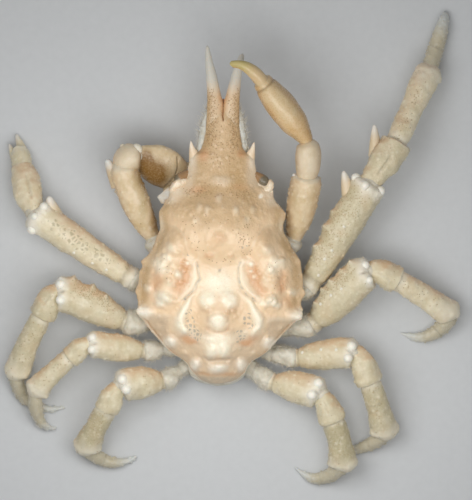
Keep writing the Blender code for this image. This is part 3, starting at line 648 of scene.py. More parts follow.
@dataclass(frozen=True)
class BackPlate:
    """The back plate with horns, brow spines and cheek lobes, which are one shell.

    Tables run from tail to horns as (y, size). Bosses and lobes are (x, y, radius across, radius along,
    height), lines are (x, y), and patches of colour are (x, y, radius across, radius along, strength).
    """

    left_edge: Table = (
        (-9.35, 0.7), (-9.1, 1.5), (-8.2, 2.5), (-7.2, 3.3), (-6.3, 4.7), (-5, 6), (-3.5, 7.3),
        (-2.4, 7.85), (-0.5, 8.15), (1.2, 8.05), (2.3, 7.6), (3.4, 7), (4.3, 6.65), (5.4, 6.25),
        (6.2, 5.95), (7.6, 5.9), (8.6, 5.45), (9.7, 4.6), (10.4, 4), (11.2, 3.6), (12.2, 3.34), (13, 3.22),
        (13.45, 3), (13.75, 2.42), (14.3, 2.05), (15.5, 1.75), (17.4, 1.4), (18.3, 0.8), (18.8, 0.3),
        (19.1, 0.06),
    )
    right_edge: Table = (
        (-9.35, 0.7), (-9.1, 1.6), (-8.2, 2.75), (-7.2, 3.3), (-6.1, 4.9), (-4.9, 5.95), (-3.4, 7.3),
        (-2.3, 7.95), (-0.5, 8.25), (1.2, 8.35), (2.3, 8.2), (3.3, 7.85), (4.4, 7.2), (5.3, 6.65),
        (6.4, 6.15), (7.5, 6.1), (8.6, 5.6), (9.6, 4.7), (10.3, 4.1), (11.2, 3.65), (12.2, 3.38),
        (13, 3.24), (13.45, 3.05), (13.75, 2.45), (14.3, 2.05), (15.5, 1.77), (17.4, 1.42), (18.3, 0.8),
        (18.8, 0.3), (19.1, 0.06),
    )
    midline: Table = (
        (-9.35, 4.4), (-8.4, 5.2), (-6.5, 5.9), (-3, 6.9), (0, 7.2), (2, 7.2), (5, 7.8), (8, 7.6), (10, 7),
        (12, 6.88), (15, 6.75), (16.4, 6.62), (17.2, 6.45), (18, 6.2), (19.1, 5.9),
    )
    margin: Table = (
        (-9.35, 4.15), (-7, 4.3), (-5, 4.5), (-2.4, 4.8), (3, 5), (6, 5.2), (8, 5.5), (11, 5.9), (14, 5.9),
        (19.1, 5.85),
    )
    underside: Table = (
        (-9.35, 3.9), (0, 3.75), (6, 3.75), (9, 4.2), (12, 4.9), (13.6, 5.2), (14.4, 5.5), (19.1, 5.65),
    )
    turn_under: Table = ((0, 1, 0), (0.2, 0.975, 0.35), (0.45, 0.86, 0.8), (0.7, 0.62, 1), (1, 0, 1))
    lobes: Table = (
        (0, 6.1, 3.5, 3.2, 1.35), (0, -1.9, 2.2, 2.8, 1.05), (5.2, 1.4, 2.1, 3.2, 1),
        (-5.2, 1.4, 2.1, 3.2, 1), (4.55, 5, 1.35, 1.3, 0.75), (-4.6, 4.9, 1.35, 1.3, 0.7),
        (0, -5.6, 1.7, 1.7, 0.7), (5.1, 7.3, 1.2, 1.4, 0.35), (-5, 7.3, 1.2, 1.4, 0.35),
    )
    bosses: Table = (
        (1, -0.95, 0.98, 0.86, 0.26), (-1.15, -1, 0.98, 0.88, 0.26), (-0.07, -3.1, 1, 0.75, 0.16),
        (-0.55, -2.8, 0.55, 0.5, 0.2), (0.42, -2.8, 0.55, 0.5, 0.2), (-0.06, -3.45, 0.6, 0.42, 0.16),
        (-1.4, -1.95, 0.3, 0.26, 0.16), (-0.95, -2.15, 0.28, 0.24, 0.14), (0.95, -2.1, 0.28, 0.24, 0.14),
        (1.55, -2, 0.3, 0.26, 0.16), (0.68, -6.1, 0.68, 0.75, 0.34), (-0.64, -6.15, 0.68, 0.75, 0.34),
        (0.04, -7.75, 1.05, 0.6, 0.5), (2.42, -7.4, 0.66, 0.68, 0.65), (-2.25, -7.42, 0.66, 0.68, 0.65),
        (5.2, -5.2, 0.78, 0.66, 0.68), (-4.78, -5.3, 0.78, 0.68, 0.68), (3.7, -6.4, 0.45, 0.4, 0.2),
        (-3.5, -6.4, 0.45, 0.4, 0.2), (6.4, -3.9, 0.5, 0.45, 0.2), (-6.1, -3.9, 0.5, 0.45, 0.2),
        (7.6, -2.4, 0.85, 0.68, 0.8), (-7.3, -2.35, 0.85, 0.72, 0.8), (7.4, -0.05, 0.5, 0.52, 0.4),
        (-7.05, -0.05, 0.55, 0.58, 0.45), (7.3, -1, 0.4, 0.4, 0.15), (6.8, -1.3, 0.35, 0.4, 0.18),
        (5.25, -0.9, 0.72, 0.6, 0.5), (5.85, -1.4, 0.5, 0.42, 0.35), (4.5, -1.5, 0.4, 0.35, 0.15),
        (6, -1, 0.4, 0.35, 0.2), (-5.5, -0.75, 0.62, 0.55, 0.45), (-5, -1.05, 0.6, 0.5, 0.4),
        (-5.85, -1.5, 0.55, 0.4, 0.35), (-4.4, -1.2, 0.4, 0.3, 0.12), (3.1, 2.65, 0.36, 0.36, 0.28),
        (3.1, 1.95, 0.34, 0.34, 0.22), (3.42, 1.4, 0.3, 0.3, 0.2), (3.7, 1.85, 0.28, 0.28, 0.18),
        (3.6, 2.5, 0.26, 0.26, 0.16), (4.3, 1.4, 0.55, 0.45, 0.15), (-4.03, 1.45, 0.52, 0.5, 0.36),
        (-3.25, 2.5, 0.3, 0.34, 0.26), (-3.6, 2.75, 0.28, 0.28, 0.2), (-3.75, 2.2, 0.26, 0.26, 0.16),
        (-3.35, 1.85, 0.28, 0.28, 0.18), (-3.75, 0.7, 0.3, 0.28, 0.16), (-5.1, 0.8, 0.4, 0.5, 0.2),
        (-4.6, 2.5, 0.4, 0.4, 0.2), (4.68, 4.15, 0.72, 0.6, 0.35), (5.2, 3.5, 0.5, 0.45, 0.2),
        (5.75, 2.75, 1.1, 0.62, 0.4), (6.5, 3, 0.6, 0.5, 0.3), (5.1, 2.1, 0.55, 0.5, 0.3),
        (6.8, 2.1, 0.45, 0.45, 0.2), (5.5, 1.2, 0.5, 0.4, 0.15), (-4.85, 4.15, 0.6, 0.6, 0.3),
        (-4.35, 3.55, 0.5, 0.42, 0.25), (-5.3, 3.1, 0.55, 0.5, 0.25), (-6.15, 2.6, 0.62, 0.55, 0.35),
        (-5.75, 1.9, 0.6, 0.5, 0.3), (-6.2, 1.3, 0.45, 0.42, 0.2), (-7, 1.85, 0.45, 0.5, 0.2),
        (-5, 1.8, 0.4, 0.4, 0.18), (1.1, 3.45, 0.4, 0.36, 0.18), (-1.1, 3.4, 0.5, 0.34, 0.22),
        (-0.05, 5.1, 0.7, 0.75, 0.2), (-0.6, 4.3, 0.35, 0.3, 0.1), (1.45, 8, 0.36, 0.5, 0.14),
        (-1.4, 8, 0.4, 0.45, 0.14), (-2.15, 8.2, 0.32, 0.5, 0.1), (3.2, 8.1, 0.35, 0.5, 0.1),
        (-3.1, 7.6, 0.35, 0.5, 0.12), (-0.28, 9.1, 0.4, 0.5, 0.1), (-2.7, 7, 0.4, 0.4, 0.1),
        (2.2, 6.95, 0.4, 0.4, 0.1), (0.05, 10.9, 1.1, 0.55, 0.12),
    )
    grooves: tuple[tuple[Table, float, float], ...] = (
        (((5.6, 6.6), (4.7, 6.5), (3.87, 5.75), (3.42, 4.95), (3.1, 4.1), (2.6, 3.4)), 0.38, 0.24),
        (((-5.6, 6.4), (-4.6, 6.3), (-3.85, 5.65), (-3.4, 4.8), (-3.1, 4), (-2.7, 3.3)), 0.38, 0.22),
        (
            (
                (-2.3, 2.7), (-2.08, 2.11), (-1.92, 1.27), (-2.26, 0.5), (-2.8, -0.29), (-3.35, -0.86),
                (-3.62, -1.15),
            ),
            0.13, 0.16,
        ),
        (
            (
                (2.1, 2.7), (1.92, 2.06), (1.94, 1.22), (2.24, 0.39), (2.74, -0.3), (3.32, -0.85),
                (3.6, -1.13),
            ),
            0.13, 0.16,
        ),
        (((-1.5, 2.6), (-0.6, 2.15), (0, 2), (0.6, 2.15), (1.5, 2.6)), 0.3, 0.08),
        (((-0.9, -3.9), (-0.4, -4.12), (0, -4.17), (0.4, -4.12), (0.9, -3.9)), 0.16, 0.14),
        (((-3.1, 3.1), (-3.3, 2.2), (-3.7, 0.9), (-4.3, -0.4)), 0.6, 0.28),
        (((2.9, 3.2), (3.2, 2.2), (3.7, 0.9), (4.3, -0.2)), 0.6, 0.28),
        (((0, 16.9), (0, 17.4), (0, 18.2), (0, 19)), 0.09, 0.35),
        (((-6.2, 1.1), (-6.5, -0.2), (-6.4, -1)), 0.4, 0.16),
        (((6.2, 1.5), (6.3, 0.2), (6.7, -0.6)), 0.4, 0.16),
        (((-1, -6.9), (0, -7.05), (1, -6.9)), 0.28, 0.2),
    )
    upper_ridges: tuple[Table, ...] = (
        ((-2.9, 3), (-2.55, 2.5), (-2.38, 1.8), (-2.4, 1.12), (-2.7, 0.42), (-3.2, -0.25), (-3.6, -0.75)),
        ((2.8, 3), (2.3, 2.6), (2.22, 1.93), (2.3, 1.23), (2.75, 0.4), (3.35, -0.25), (3.85, -0.84)),
    )
    lower_ridges: tuple[Table, ...] = (
        (
            (-1.8, 0.9), (-2.31, -0.1), (-2.85, -0.85), (-3.22, -1.56), (-3.58, -2.27), (-3.85, -2.98),
            (-3.85, -3.62), (-3.5, -4),
        ),
        (
            (1.62, 0.9), (2.18, -0.04), (2.8, -0.72), (3.3, -1.55), (3.72, -2.25), (3.95, -2.94),
            (3.97, -3.6), (3.65, -3.95),
        ),
    )
    side_ridges: tuple[Table, ...] = (
        ((7.4, -2.5), (6.3, -2.75), (5.3, -3.1)),
        ((-7.1, -2.4), (-6.3, -2.6), (-5.4, -2.95)),
    )
    orange: Table = (
        (-3.4, 2.2, 0.65, 1, 0.95), (-3.65, 1, 0.75, 0.9, 0.95), (-4.1, 0, 0.65, 0.8, 0.8),
        (3.25, 2.1, 0.65, 1, 0.95), (3.65, 1.1, 0.65, 0.8, 0.95), (4.2, 0.1, 0.65, 0.7, 0.8),
        (-6.2, 0.9, 0.55, 1, 0.7), (-6.5, -0.3, 0.55, 0.8, 0.5), (6.35, 1.2, 0.55, 1, 0.75),
        (6.15, 0.25, 0.5, 0.5, 0.7), (-6.45, -1.1, 0.3, 0.35, 0.4), (6.8, -0.9, 0.55, 0.5, 0.55),
        (7.2, -1.4, 0.4, 0.3, 0.3), (-2.7, -5.15, 0.7, 0.35, 1.1), (-3.3, -4.75, 0.6, 0.35, 0.9),
        (2.75, -5.15, 0.75, 0.35, 1.1), (3.5, -4.6, 0.6, 0.35, 0.8), (-0.05, 5.2, 0.55, 0.5, 0.5),
        (-1.13, 3.4, 0.5, 0.35, 0.55), (1.11, 3.45, 0.35, 0.3, 0.35), (-1.84, 13.4, 0.55, 0.65, 0.9),
        (1.9, 13.7, 0.4, 0.5, 0.75), (-2.4, 10, 0.9, 0.4, 0.7), (1.9, 10.3, 0.9, 0.35, 0.4),
        (0, 18.9, 0.5, 0.6, 0.9), (-4.4, -0.9, 0.3, 0.25, 0.3),
    )
    # Rust-brown painted shade in the hollows: under the cardiac bosses, in the grooves and in the valleys at
    # the rear.
    hollow_shade: Table = (
        (-1.65, -1.9, 0.45, 0.3, 0.38), (-0.95, -2.1, 0.45, 0.25, 0.4), (-0.1, -2, 0.45, 0.28, 0.3),
        (0.75, -2.05, 0.45, 0.25, 0.6), (1.5, -1.8, 0.4, 0.3, 0.6), (-0.05, -4.12, 0.7, 0.18, 0.9),
        (-0.95, -3.8, 0.3, 0.3, 0.7), (0.9, -3.75, 0.3, 0.3, 0.7), (-1, -2.9, 0.2, 0.5, 0.6),
        (0.9, -2.9, 0.2, 0.5, 0.6), (-0.05, -1.1, 0.16, 0.5, 0.5), (0, -0.2, 0.5, 0.2, 0.35),
        (0, 0.35, 0.6, 0.12, 0.2), (-1.3, -8.35, 0.8, 0.18, 0.7), (1.3, -8.35, 0.8, 0.18, 0.7),
        (0, -8.45, 1.7, 0.2, 0.4), (0, -6.85, 1.2, 0.22, 0.6),
    )
    cream: Table = (
        (1, -0.95, 0.75, 0.7, 1.4), (-1.15, -1, 0.78, 0.72, 1.4), (-0.07, -3.1, 0.85, 0.75, 1.3),
        (0, -4.7, 1.8, 0.45, 0.6), (0, -5.3, 1.4, 0.8, 0.9), (0.64, -6.05, 0.6, 0.7, 1),
        (-0.6, -6.1, 0.6, 0.7, 1), (-5.9, 6.3, 0.4, 0.9, 0.5), (5.9, 6.4, 0.4, 0.9, 0.4),
        (-5.6, 2.6, 1.3, 1.3, 0.3), (5.6, 2.8, 1.2, 1.1, 0.25), (0, 1.1, 1.7, 1.1, 0.85),
        (0, 0.2, 2, 0.8, 0.6), (2.6, -4.3, 0.5, 0.5, 0.35), (-2.6, -4.4, 0.5, 0.5, 0.35),
        (5.25, -0.95, 0.6, 0.5, 0.85), (-5.5, -0.8, 0.95, 0.62, 1.15), (-5.85, -1.5, 0.45, 0.3, 0.8),
        (5.85, -1.4, 0.4, 0.3, 0.7), (5.75, 2.75, 1, 0.5, 0.5), (4.7, 4.1, 0.5, 0.45, 0.5),
        (5.1, 2.1, 0.5, 0.4, 0.6), (-6.15, 2.55, 0.6, 0.5, 0.5), (-5.7, 1.9, 0.55, 0.45, 0.5),
        (-4.85, 4.1, 0.45, 0.45, 0.6), (-5.2, 3.1, 0.5, 0.4, 0.5), (-4.03, 1.45, 0.4, 0.4, 1),
        (-3.25, 2.5, 0.2, 0.22, 0.9), (3.1, 2.65, 0.24, 0.24, 0.9), (3.1, 1.95, 0.2, 0.2, 0.8),
        (3.42, 1.4, 0.18, 0.18, 0.7), (-7.05, -0.05, 0.4, 0.4, 0.7), (7.45, -0.05, 0.36, 0.36, 0.65),
        (-1.4, 8, 0.28, 0.36, 0.45), (1.45, 8, 0.28, 0.4, 0.5), (-2.15, 8.2, 0.25, 0.4, 0.25),
        (3.2, 8.1, 0.25, 0.4, 0.3), (-2.4, 6.9, 0.3, 0.4, 0.3), (2.6, 7, 0.3, 0.4, 0.3),
        (4.4, -1.3, 0.6, 0.3, 0.5), (4.6, 0.9, 0.4, 0.5, 0.3), (-5, 0.4, 0.5, 0.5, 0.4),
    )
    white: Table = (
        (0.04, -7.75, 0.95, 0.46, 1.2), (2.42, -7.4, 0.56, 0.56, 1.2), (-2.25, -7.42, 0.56, 0.56, 1.2),
        (5.2, -5.2, 0.68, 0.52, 1.2), (-4.78, -5.3, 0.68, 0.54, 1.2), (-5, 8.75, 0.6, 0.4, 0.35),
        (5.2, 8.75, 0.6, 0.4, 0.35), (7.8, -2.4, 0.8, 0.7, 1.2), (-7.5, -2.35, 0.8, 0.7, 1.2),
        (3.9, 9.35, 0.2, 0.2, 1), (4.9, 9.9, 0.9, 1, 0.6), (-4.6, 9.9, 1, 1, 0.6),
        (3.3, 11.9, 0.8, 1.9, 0.42), (-3.3, 11.9, 0.8, 1.9, 0.42), (2.95, 13.2, 0.5, 0.9, 0.4),
        (-2.95, 13.2, 0.5, 0.9, 0.4), (0.05, 10.95, 1, 0.5, 0.3), (6.2, -2.75, 0.7, 0.25, 0.2),
        (-6.2, -2.65, 0.7, 0.25, 0.2), (-0.28, 9.1, 0.35, 0.5, 0.3),
    )
    net: Table = (
        (-2.95, -2.75, 0.55, 0.7, 1.1), (-2.85, -3.5, 0.65, 0.5, 1.1), (3.05, -2.75, 0.52, 0.75, 1.1),
        (2.95, -3.4, 0.6, 0.45, 1.1), (-2.35, -4.4, 0.65, 0.5, 1), (2.3, -4.35, 0.65, 0.5, 1),
        (-2, -5, 0.3, 0.3, 0.6), (2, -5, 0.3, 0.3, 0.6), (-3.3, -0.85, 0.45, 0.3, 0.5),
        (3.35, -0.85, 0.4, 0.35, 0.6), (5.5, -0.3, 0.4, 0.25, 0.4), (-2.3, 4.3, 0.9, 0.35, 0.3),
        (2.4, 4.3, 0.9, 0.35, 0.3), (-3, 3.5, 0.4, 0.3, 0.45), (3, 3.5, 0.4, 0.3, 0.45),
    )
    pepper: Table = (
        (-1.2, 16.6, 0.5, 2.6, 0.95), (1.2, 16.6, 0.5, 2.6, 0.95), (0, 13.2, 2.4, 1.6, 0.17),
        (0, 10.2, 3, 0.9, 0.2), (-2, 4.9, 1, 0.5, 0.35), (2.2, 4.9, 1, 0.6, 0.4), (0, 2.9, 1.8, 0.4, 0.25),
        (-2.5, 3.9, 0.8, 0.4, 0.3), (2.6, 3.9, 0.8, 0.4, 0.3), (-2.5, 9.6, 1.4, 0.7, 0.4),
        (2.1, 9.6, 1.4, 0.7, 0.35), (-2.1, 6.6, 1.6, 1.2, 0.25), (2.1, 6.4, 1.6, 1.2, 0.2),
        (-5.2, 1.6, 1, 1.8, 0.2), (5.4, 1.6, 1, 1.8, 0.2), (0, 0.2, 2.4, 1.2, 0.1), (0, 15, 0.9, 1.2, 0.2),
    )
    lumps: Table = (
        (5.6, 2.6, 1.3, 1.5, 1), (-5.5, 2.6, 1.4, 1.6, 1), (5.3, -1.1, 1.2, 0.7, 1),
        (-5.3, -1.1, 1.2, 0.7, 1),
    )
    cup_walls: tuple[Table, ...] = (
        (
            (0, 3.5, 10.8, 5.85, 0.2), (0.2, 3.85, 10.4, 5.95, 0.3), (0.45, 4.35, 10.15, 5.95, 0.38),
            (0.7, 4.8, 10.4, 5.9, 0.36), (0.9, 4.9, 10.85, 5.85, 0.27), (1, 4.9, 11.1, 5.8, 0.1),
        ),
        (
            (0, -3.4, 11.05, 5.9, 0.15), (0.15, -3.7, 10.8, 6.05, 0.28), (0.4, -4.15, 10.65, 6.15, 0.4),
            (0.7, -4.6, 10.4, 6.05, 0.42), (0.9, -4.85, 9.9, 5.85, 0.4), (1, -4.9, 9.6, 5.7, 0.2),
        ),
    )
    cup_lobes: tuple[tuple[Point, Point], ...] = (
        ((4.45, 9.85, 5.65), (0.62, 0.5, 0.5)), ((4, 10.15, 5.75), (0.4, 0.4, 0.4)),
        ((-4.3, 10.15, 5.75), (0.6, 0.55, 0.5)), ((-3.85, 10.4, 5.8), (0.4, 0.4, 0.4)),
    )
    columns_over: int = 208
    columns_under: int = 60
    rows: int = 308

    def edge(self, y: np.ndarray, side: Side) -> np.ndarray:
        """Half-width of the rim on one side at stations y."""
        return through(self.left_edge if side is Side.LEFT else self.right_edge, y)

    def plain(self) -> Skin:
        """The smooth plate: a dome (1 - |share|^2.4)^0.7 high between its margins, turned under at its rim."""
        y = np.linspace(self.midline[0][0], self.midline[-1][0], self.rows)[:, None]
        over = np.linspace(1, -1, self.columns_over)
        share = 0.62 * over + 0.38 * np.sin(over * np.pi / 2)
        left, right = self.edge(y, Side.LEFT), self.edge(y, Side.RIGHT)
        middle, rim, low = (through(t, y) for t in (self.midline, self.margin, self.underside))
        x = np.where(share > 0, right, left) * share
        z = rim + (middle - rim) * (1 - np.abs(share) ** 2.4) ** 0.7
        back = np.linspace(-1, 1, self.columns_under + 2)[1:-1]
        way = through(self.turn_under, 1 - np.abs(back))
        under_x = np.where(back < 0, -left, right) * way[:, 0]
        under_z = rim + (low - rim) * way[:, 1]
        ys = np.broadcast_to(y, (self.rows, self.columns_over + self.columns_under))
        points = np.stack([np.concatenate([x, under_x], 1), ys, np.concatenate([z, under_z], 1)], -1)
        return Skin(points, y[:, 0], np.concatenate([share, np.sign(back)]))

    @staticmethod
    def patches(x: np.ndarray, y: np.ndarray, table: Table, sharpness: float) -> np.ndarray:
        """The sum of round patches: strength * exp(-(distance in radii squared)^sharpness)."""
        total = np.zeros_like(x)
        for at_x, at_y, across, along, strength in table:
            reach = ((x - at_x) / across) ** 2 + ((y - at_y) / along) ** 2
            total += strength * np.exp(-(reach**sharpness))
        return total

    @staticmethod
    def mounds(x: np.ndarray, y: np.ndarray, table: Table) -> np.ndarray:
        """The height of round bosses with a soft foot: height * (1 - distance in radii squared / 1.7)^1.9."""
        total = np.zeros_like(x)
        for at_x, at_y, across, along, height in table:
            reach = ((x - at_x) / across) ** 2 + ((y - at_y) / along) ** 2
            total += 1.1 * height * np.clip(1 - reach / 1.7, 0, 1) ** 1.9
        return total

    def ridge_share(self, x: np.ndarray, y: np.ndarray) -> np.ndarray:
        """How far a point stands up a winding ridge, 1 on its crest: exp(-(distance / width)^2.4)."""
        share = np.zeros_like(x)
        for line in self.upper_ridges:
            share = np.maximum(share, 0.5 * bell(line_distance(x, y, line), 0.48))
        width = 0.26 + 0.3 * smooth(-0.8, -3.0, y)
        for line in self.lower_ridges:
            crest = np.exp(-((line_distance(x, y, line) / width) ** 2.4))
            share = np.maximum(share, crest * smooth(0.4, -1.6, y))
        return share

    def shaped(self) -> Skin:
        """The plate with its lobes, bosses, ridges, grooves, pits, grains and the marks of its colours."""
        skin = self.plain()
        x, y = skin.points[..., 0], skin.points[..., 1]
        over = np.zeros(len(skin.turn), bool)
        over[: self.columns_over] = True
        inside = np.where(over, 1 - np.abs(skin.turn) ** 8, 0.0)
        wander = np.stack([rolling(skin.points, 0.8, 31), rolling(skin.points, 0.8, 37)], -1) * 0.1
        wx, wy = x + wander[..., 0], y + wander[..., 1]
        ridge = self.ridge_share(wx, wy)
        rise = self.patches(x, y, self.lobes, 1.0) + self.mounds(wx, wy, self.bosses)
        rise += ridge * (0.3 + 0.3 * smooth(-1.0, -3.0, y))
        for line in self.side_ridges:
            rise += 0.16 * bell(line_distance(wx, wy, line), 0.5)
        for line, width, depth in self.grooves:
            rise -= depth * bell(line_distance(wx, wy, line), width)
        skin.points[..., 2] += rise * inside
        self.grow_rim(skin)
        self.colour(skin, wx, wy, over, ridge)
        self.surface(skin, x, y, over)
        return skin

    def grow_rim(self, skin: Skin) -> None:
        """Pulls the rim's teeth and lobes out: a point moves by way * exp(-(distance / radius)^2)."""
        growths = (
            ((5.8, 7.6, 5.5), (0.4, 0.05, 0.1), 1.05), ((-5.6, 7.3, 5.5), (-0.3, 0.15, 0.1), 1),
            ((7.85, 3, 5.2), (0.15, 0.1, 0.1), 0.4), ((-7.2, 2.75, 5.2), (-0.5, 0, 0.1), 0.6),
            ((8.25, -0.15, 5), (0.42, 0, 0.1), 0.5), ((-8, -0.3, 5), (-0.25, 0, 0.1), 0.5),
            ((7.7, -2.4, 5.4), (0.7, -0.1, 0.25), 0.65), ((-7.5, -2.3, 5.4), (-0.6, -0.05, 0.25), 0.7),
            ((4.4, 9.8, 5.8), (0.55, 0.4, 0.1), 0.85), ((-4.3, 9.7, 5.8), (-0.55, 0.35, 0.1), 0.85),
            ((-7.7, 1.6, 5.2), (-0.25, 0.05, 0), 0.3), ((6, 8.6, 5.5), (0.2, 0.2, 0), 0.25),
            ((-5.3, 8.6, 5.5), (-0.2, 0.2, 0), 0.25), ((8.1, -1.7, 5.1), (0.3, 0, 0), 0.3),
        )
        moved = np.zeros_like(skin.points)
        for root, way, radius in growths:
            apart = np.linalg.norm(skin.points - np.array(root), axis=-1) / radius
            moved += np.exp(-(apart**2))[..., None] * np.array(way)
        skin.points = skin.points + moved

    def colour(self, skin: Skin, x: np.ndarray, y: np.ndarray, over: np.ndarray, ridge: np.ndarray) -> None:
        """Marks the plate's patches of colour, wavering at their edges."""
        trough = sum(bell(line_distance(x, y, line), 0.1) for line, _, _ in self.grooves[2:4])
        arc_shade = sum(bell(line_distance(x, y, line), 0.13) for line, _, _ in self.grooves[:2])
        slit = bell(x, 0.08) * smooth(16.6, 16.9, y) * (1 - smooth(17.6, 18.0, y))
        hole = bell(np.hypot(x, y - 1.98), 0.13)
        edge = np.abs(skin.turn)
        rim_line = bell(edge - 0.955, 0.014) * smooth(-2.4, -3.4, y) * over
        wave = 0.25 * rolling(skin.points, 1.4, 5)
        front = smooth(5.0, 7.0, y - 0.06 * x**2 + 0.5 * wave) * (0.7 + 0.3 * smooth(8.4, 10.4, y))
        sides = smooth(0.8, 0.93, edge + 0.05 * wave) * smooth(-3.0, -1.0, y)
        sides = sides * (1 - 0.6 * smooth(0.92, 0.99, edge))
        domes = self.patches(x, y, ((4.5, 5.2, 1.2, 1.0, 0.45), (-4.55, 5.1, 1.2, 1.0, 0.4)), 1.4)
        tan = np.maximum(np.maximum(front, 0.9 * sides), domes) * (0.9 + wave)
        inner = self.patches(x, y, ((0.0, -2.3, 2.0, 1.8, 0.3), (0.0, 3.4, 2.2, 0.6, 0.15)), 1.5)
        pale_tail = self.patches(x, y, ((0.0, -5.4, 1.6, 1.5, 1.0),), 2.0)
        low = smooth(-3.2, -4.4, y + 0.12 * np.abs(x) - 0.2 * wave) * (1 - pale_tail)
        flank = smooth(4.4, 5.2, np.abs(x)) * smooth(-2.2, -3.0, y)
        pale = bell(x, 0.65) * smooth(13.6, 15.5, y)
        skin.mark("tan", np.maximum(tan, inner) * (1 - 0.5 * pale) * (1 - 0.2 * smooth(14.5, 16.0, y)))
        skin.mark("dun", np.maximum(low, flank) * (0.85 + wave))
        skin.mark("orange", self.patches(x, y, self.orange, 1.3))
        # Rust: painted shade from the hollow patches and the slit between the horns, and the shell's own brown
        # line inside the rear rim.
        skin.mark("rust", self.patches(x, y, self.hollow_shade, 1.2) + 0.8 * rim_line + slit)
        skin.mark("cream", self.patches(x, y, self.cream, 1.15) + ridge)
        broken = 0.6 + 0.6 * rolling(skin.points, 0.3, 51)
        # Grey painted shade: the valley across the rear at y = -6.9 and, faintly, the arcs in front.
        crease_shade = 0.42 * bell(y + 6.9 - 0.08 * x**2, 0.22) * np.exp(-((x / 1.5) ** 4))
        skin.mark("grey", 0.95 * trough * broken + 0.12 * arc_shade * smooth(3.4, 4.2, y) + 0.9 * hole)
        skin.mark("grey", crease_shade + 0.5 * smooth(-8.5, -8.9, y))
        rim = smooth(0.965, 0.985, edge) * smooth(-2.5, -4.0, y)
        skin.mark("white", self.patches(x, y, self.white, 1.4) + 0.5 * rim + np.where(over, 0.0, 0.6))
        skin.mark("net", self.patches(x, y, self.net, 1.5) * over)
        skin.mark("pepper", self.patches(x, y, self.pepper, 1.2) * over)
        skin.mark("tip", 0.0)

    def surface(self, skin: Skin, x: np.ndarray, y: np.ndarray, over: np.ndarray) -> None:
        """Gives the plate its small relief: uneven swells, scattered grains, beads in the hollows, pits."""
        height = 0.05 * rolling(skin.points, 1.0, 3) + 0.035 * rolling(skin.points, 0.42, 4)
        apart, number = pebbles(skin.points, 0.5, 11)
        grain = (1 - smooth(0.05, 0.5, apart)) * smooth(0.5, 0.65, number) * over
        hollow = np.clip(self.patches(x, y, self.orange[:10], 1.2), 0, 1)
        small, odd = pebbles(skin.points, 0.34, 17)
        beads = (1 - smooth(0.05, 0.5, small)) * smooth(0.3, 0.5, odd) * hollow
        lumpy = self.patches(x, y, self.lumps, 1.5) * over
        big, _ = pebbles(skin.points, 0.75, 23)
        skin.mark("grain", np.maximum(0.8 * grain, beads))
        rim = smooth(0.86, 0.97, np.abs(skin.turn)) * smooth(12.5, 11.0, y) * over
        height = height + (0.05 + 0.04 * rim) * grain + 0.1 * beads
        height = height + 0.12 * lumpy * (1 - smooth(0.1, 0.65, big))
        height = height - 0.15 * bell(np.hypot(x, y - 1.98), 0.12)
        height = height - 0.06 * bell(np.abs(skin.turn) - 0.955, 0.014) * smooth(-2.4, -3.4, y) * over
        skin.push(height * np.where(over, 1.0, 0.4))

    def horn(self, side: Side) -> Skin:
        """One horn: sunk in the brow, it rises beside its fellow, parts from it and runs out to a point."""
        tip = (-1.74, 24.35, 5.9) if side is Side.LEFT else (1.82, 23.65, 5.9)
        way, blunt = side.value, 1.1 if side is Side.LEFT else 1.32
        path = through((
            (0.0, 0.8 * way, 13.4, 5.6), (0.18, 0.82 * way, 15.4, 5.75), (0.36, 0.82 * way, 17.4, 5.95),
            (0.47, 0.82 * way, 18.5, 6.02), (0.54, 0.92 * way, 19.25, 6.05), (0.75, 1.24 * way, 21.3, 6.0),
            (0.88, (1.24 * way + tip[0]) / 2 + 0.03 * way, 22.8, 5.95), (1.0, *tip),
        ), np.linspace(0, 1, 90))
        halves = through((
            (0.0, 0.7, 0.42), (0.18, 0.88, 0.5), (0.36, 0.82, 0.5), (0.47, 0.82, 0.5), (0.54, 0.73, 0.48),
            (0.75, 0.53, 0.42), (0.88, 0.36, 0.33), (0.96, 0.2 * blunt, 0.2), (0.985, 0.14 * blunt, 0.16),
            (1.0, 0.04, 0.04),
        ), np.linspace(0, 1, 90))
        skin = tube(path, halves, 48)
        y = skin.points[..., 1]
        outer = smooth(-0.4, 0.6, way * np.cos(skin.turn))
        skin.mark("pepper", smooth(20.9, 19.0, y) * (0.25 + 0.65 * outer))
        skin.mark("tip", smooth(19.0, 21.4, y))
        skin.mark("tan", smooth(21.4, 18.8, y) * (0.5 + 0.35 * outer))
        skin.mark("white", 0.12 * smooth(0.5, 1.0, np.sin(skin.turn)) * smooth(14.5, 16.5, y))
        skin.mark("orange", 0.8 * bell(y - 18.9, 0.9) * smooth(0.2, 0.9, -way * np.cos(skin.turn)))
        # Rust-brown painted shade on the inner faces, in the slit where the horns meet.
        slit = smooth(16.7, 17.0, y) * smooth(18.4, 17.8, y)
        skin.mark("rust", smooth(0.75, 0.95, -way * np.cos(skin.turn)) * slit)
        skin.roughen(41, 0.02, 0.02, 0.35)
        return skin

    def brow_spine(self, side: Side) -> Skin:
        """The flat spine at the brow's corner, which runs on from the edge of the neck."""
        path = through((
            (0.0, 2.6 * side.value, 11.0, 5.35), (0.4, 2.68 * side.value, 12.5, 5.6),
            (0.66, 2.8 * side.value, 13.4, 5.85), (0.85, 3.03 * side.value, 14.15, 6.0),
            (1.0, 3.17 * side.value, 14.85, 6.05),
        ), np.linspace(0, 1, 40))
        halves = through((
            (0.0, 0.5, 0.3), (0.4, 0.58, 0.36), (0.66, 0.5, 0.35), (0.85, 0.26, 0.23), (0.96, 0.11, 0.11),
            (1.0, 0.02, 0.02),
        ), np.linspace(0, 1, 40))
        skin = tube(path, halves, 28)
        y = skin.points[..., 1]
        skin.mark("white", 0.25 + 0.55 * smooth(13.5, 14.7, y))
        skin.mark("tan", 0.45 * smooth(14.4, 12.8, y))
        skin.roughen(43, 0.01, 0.01)
        return skin

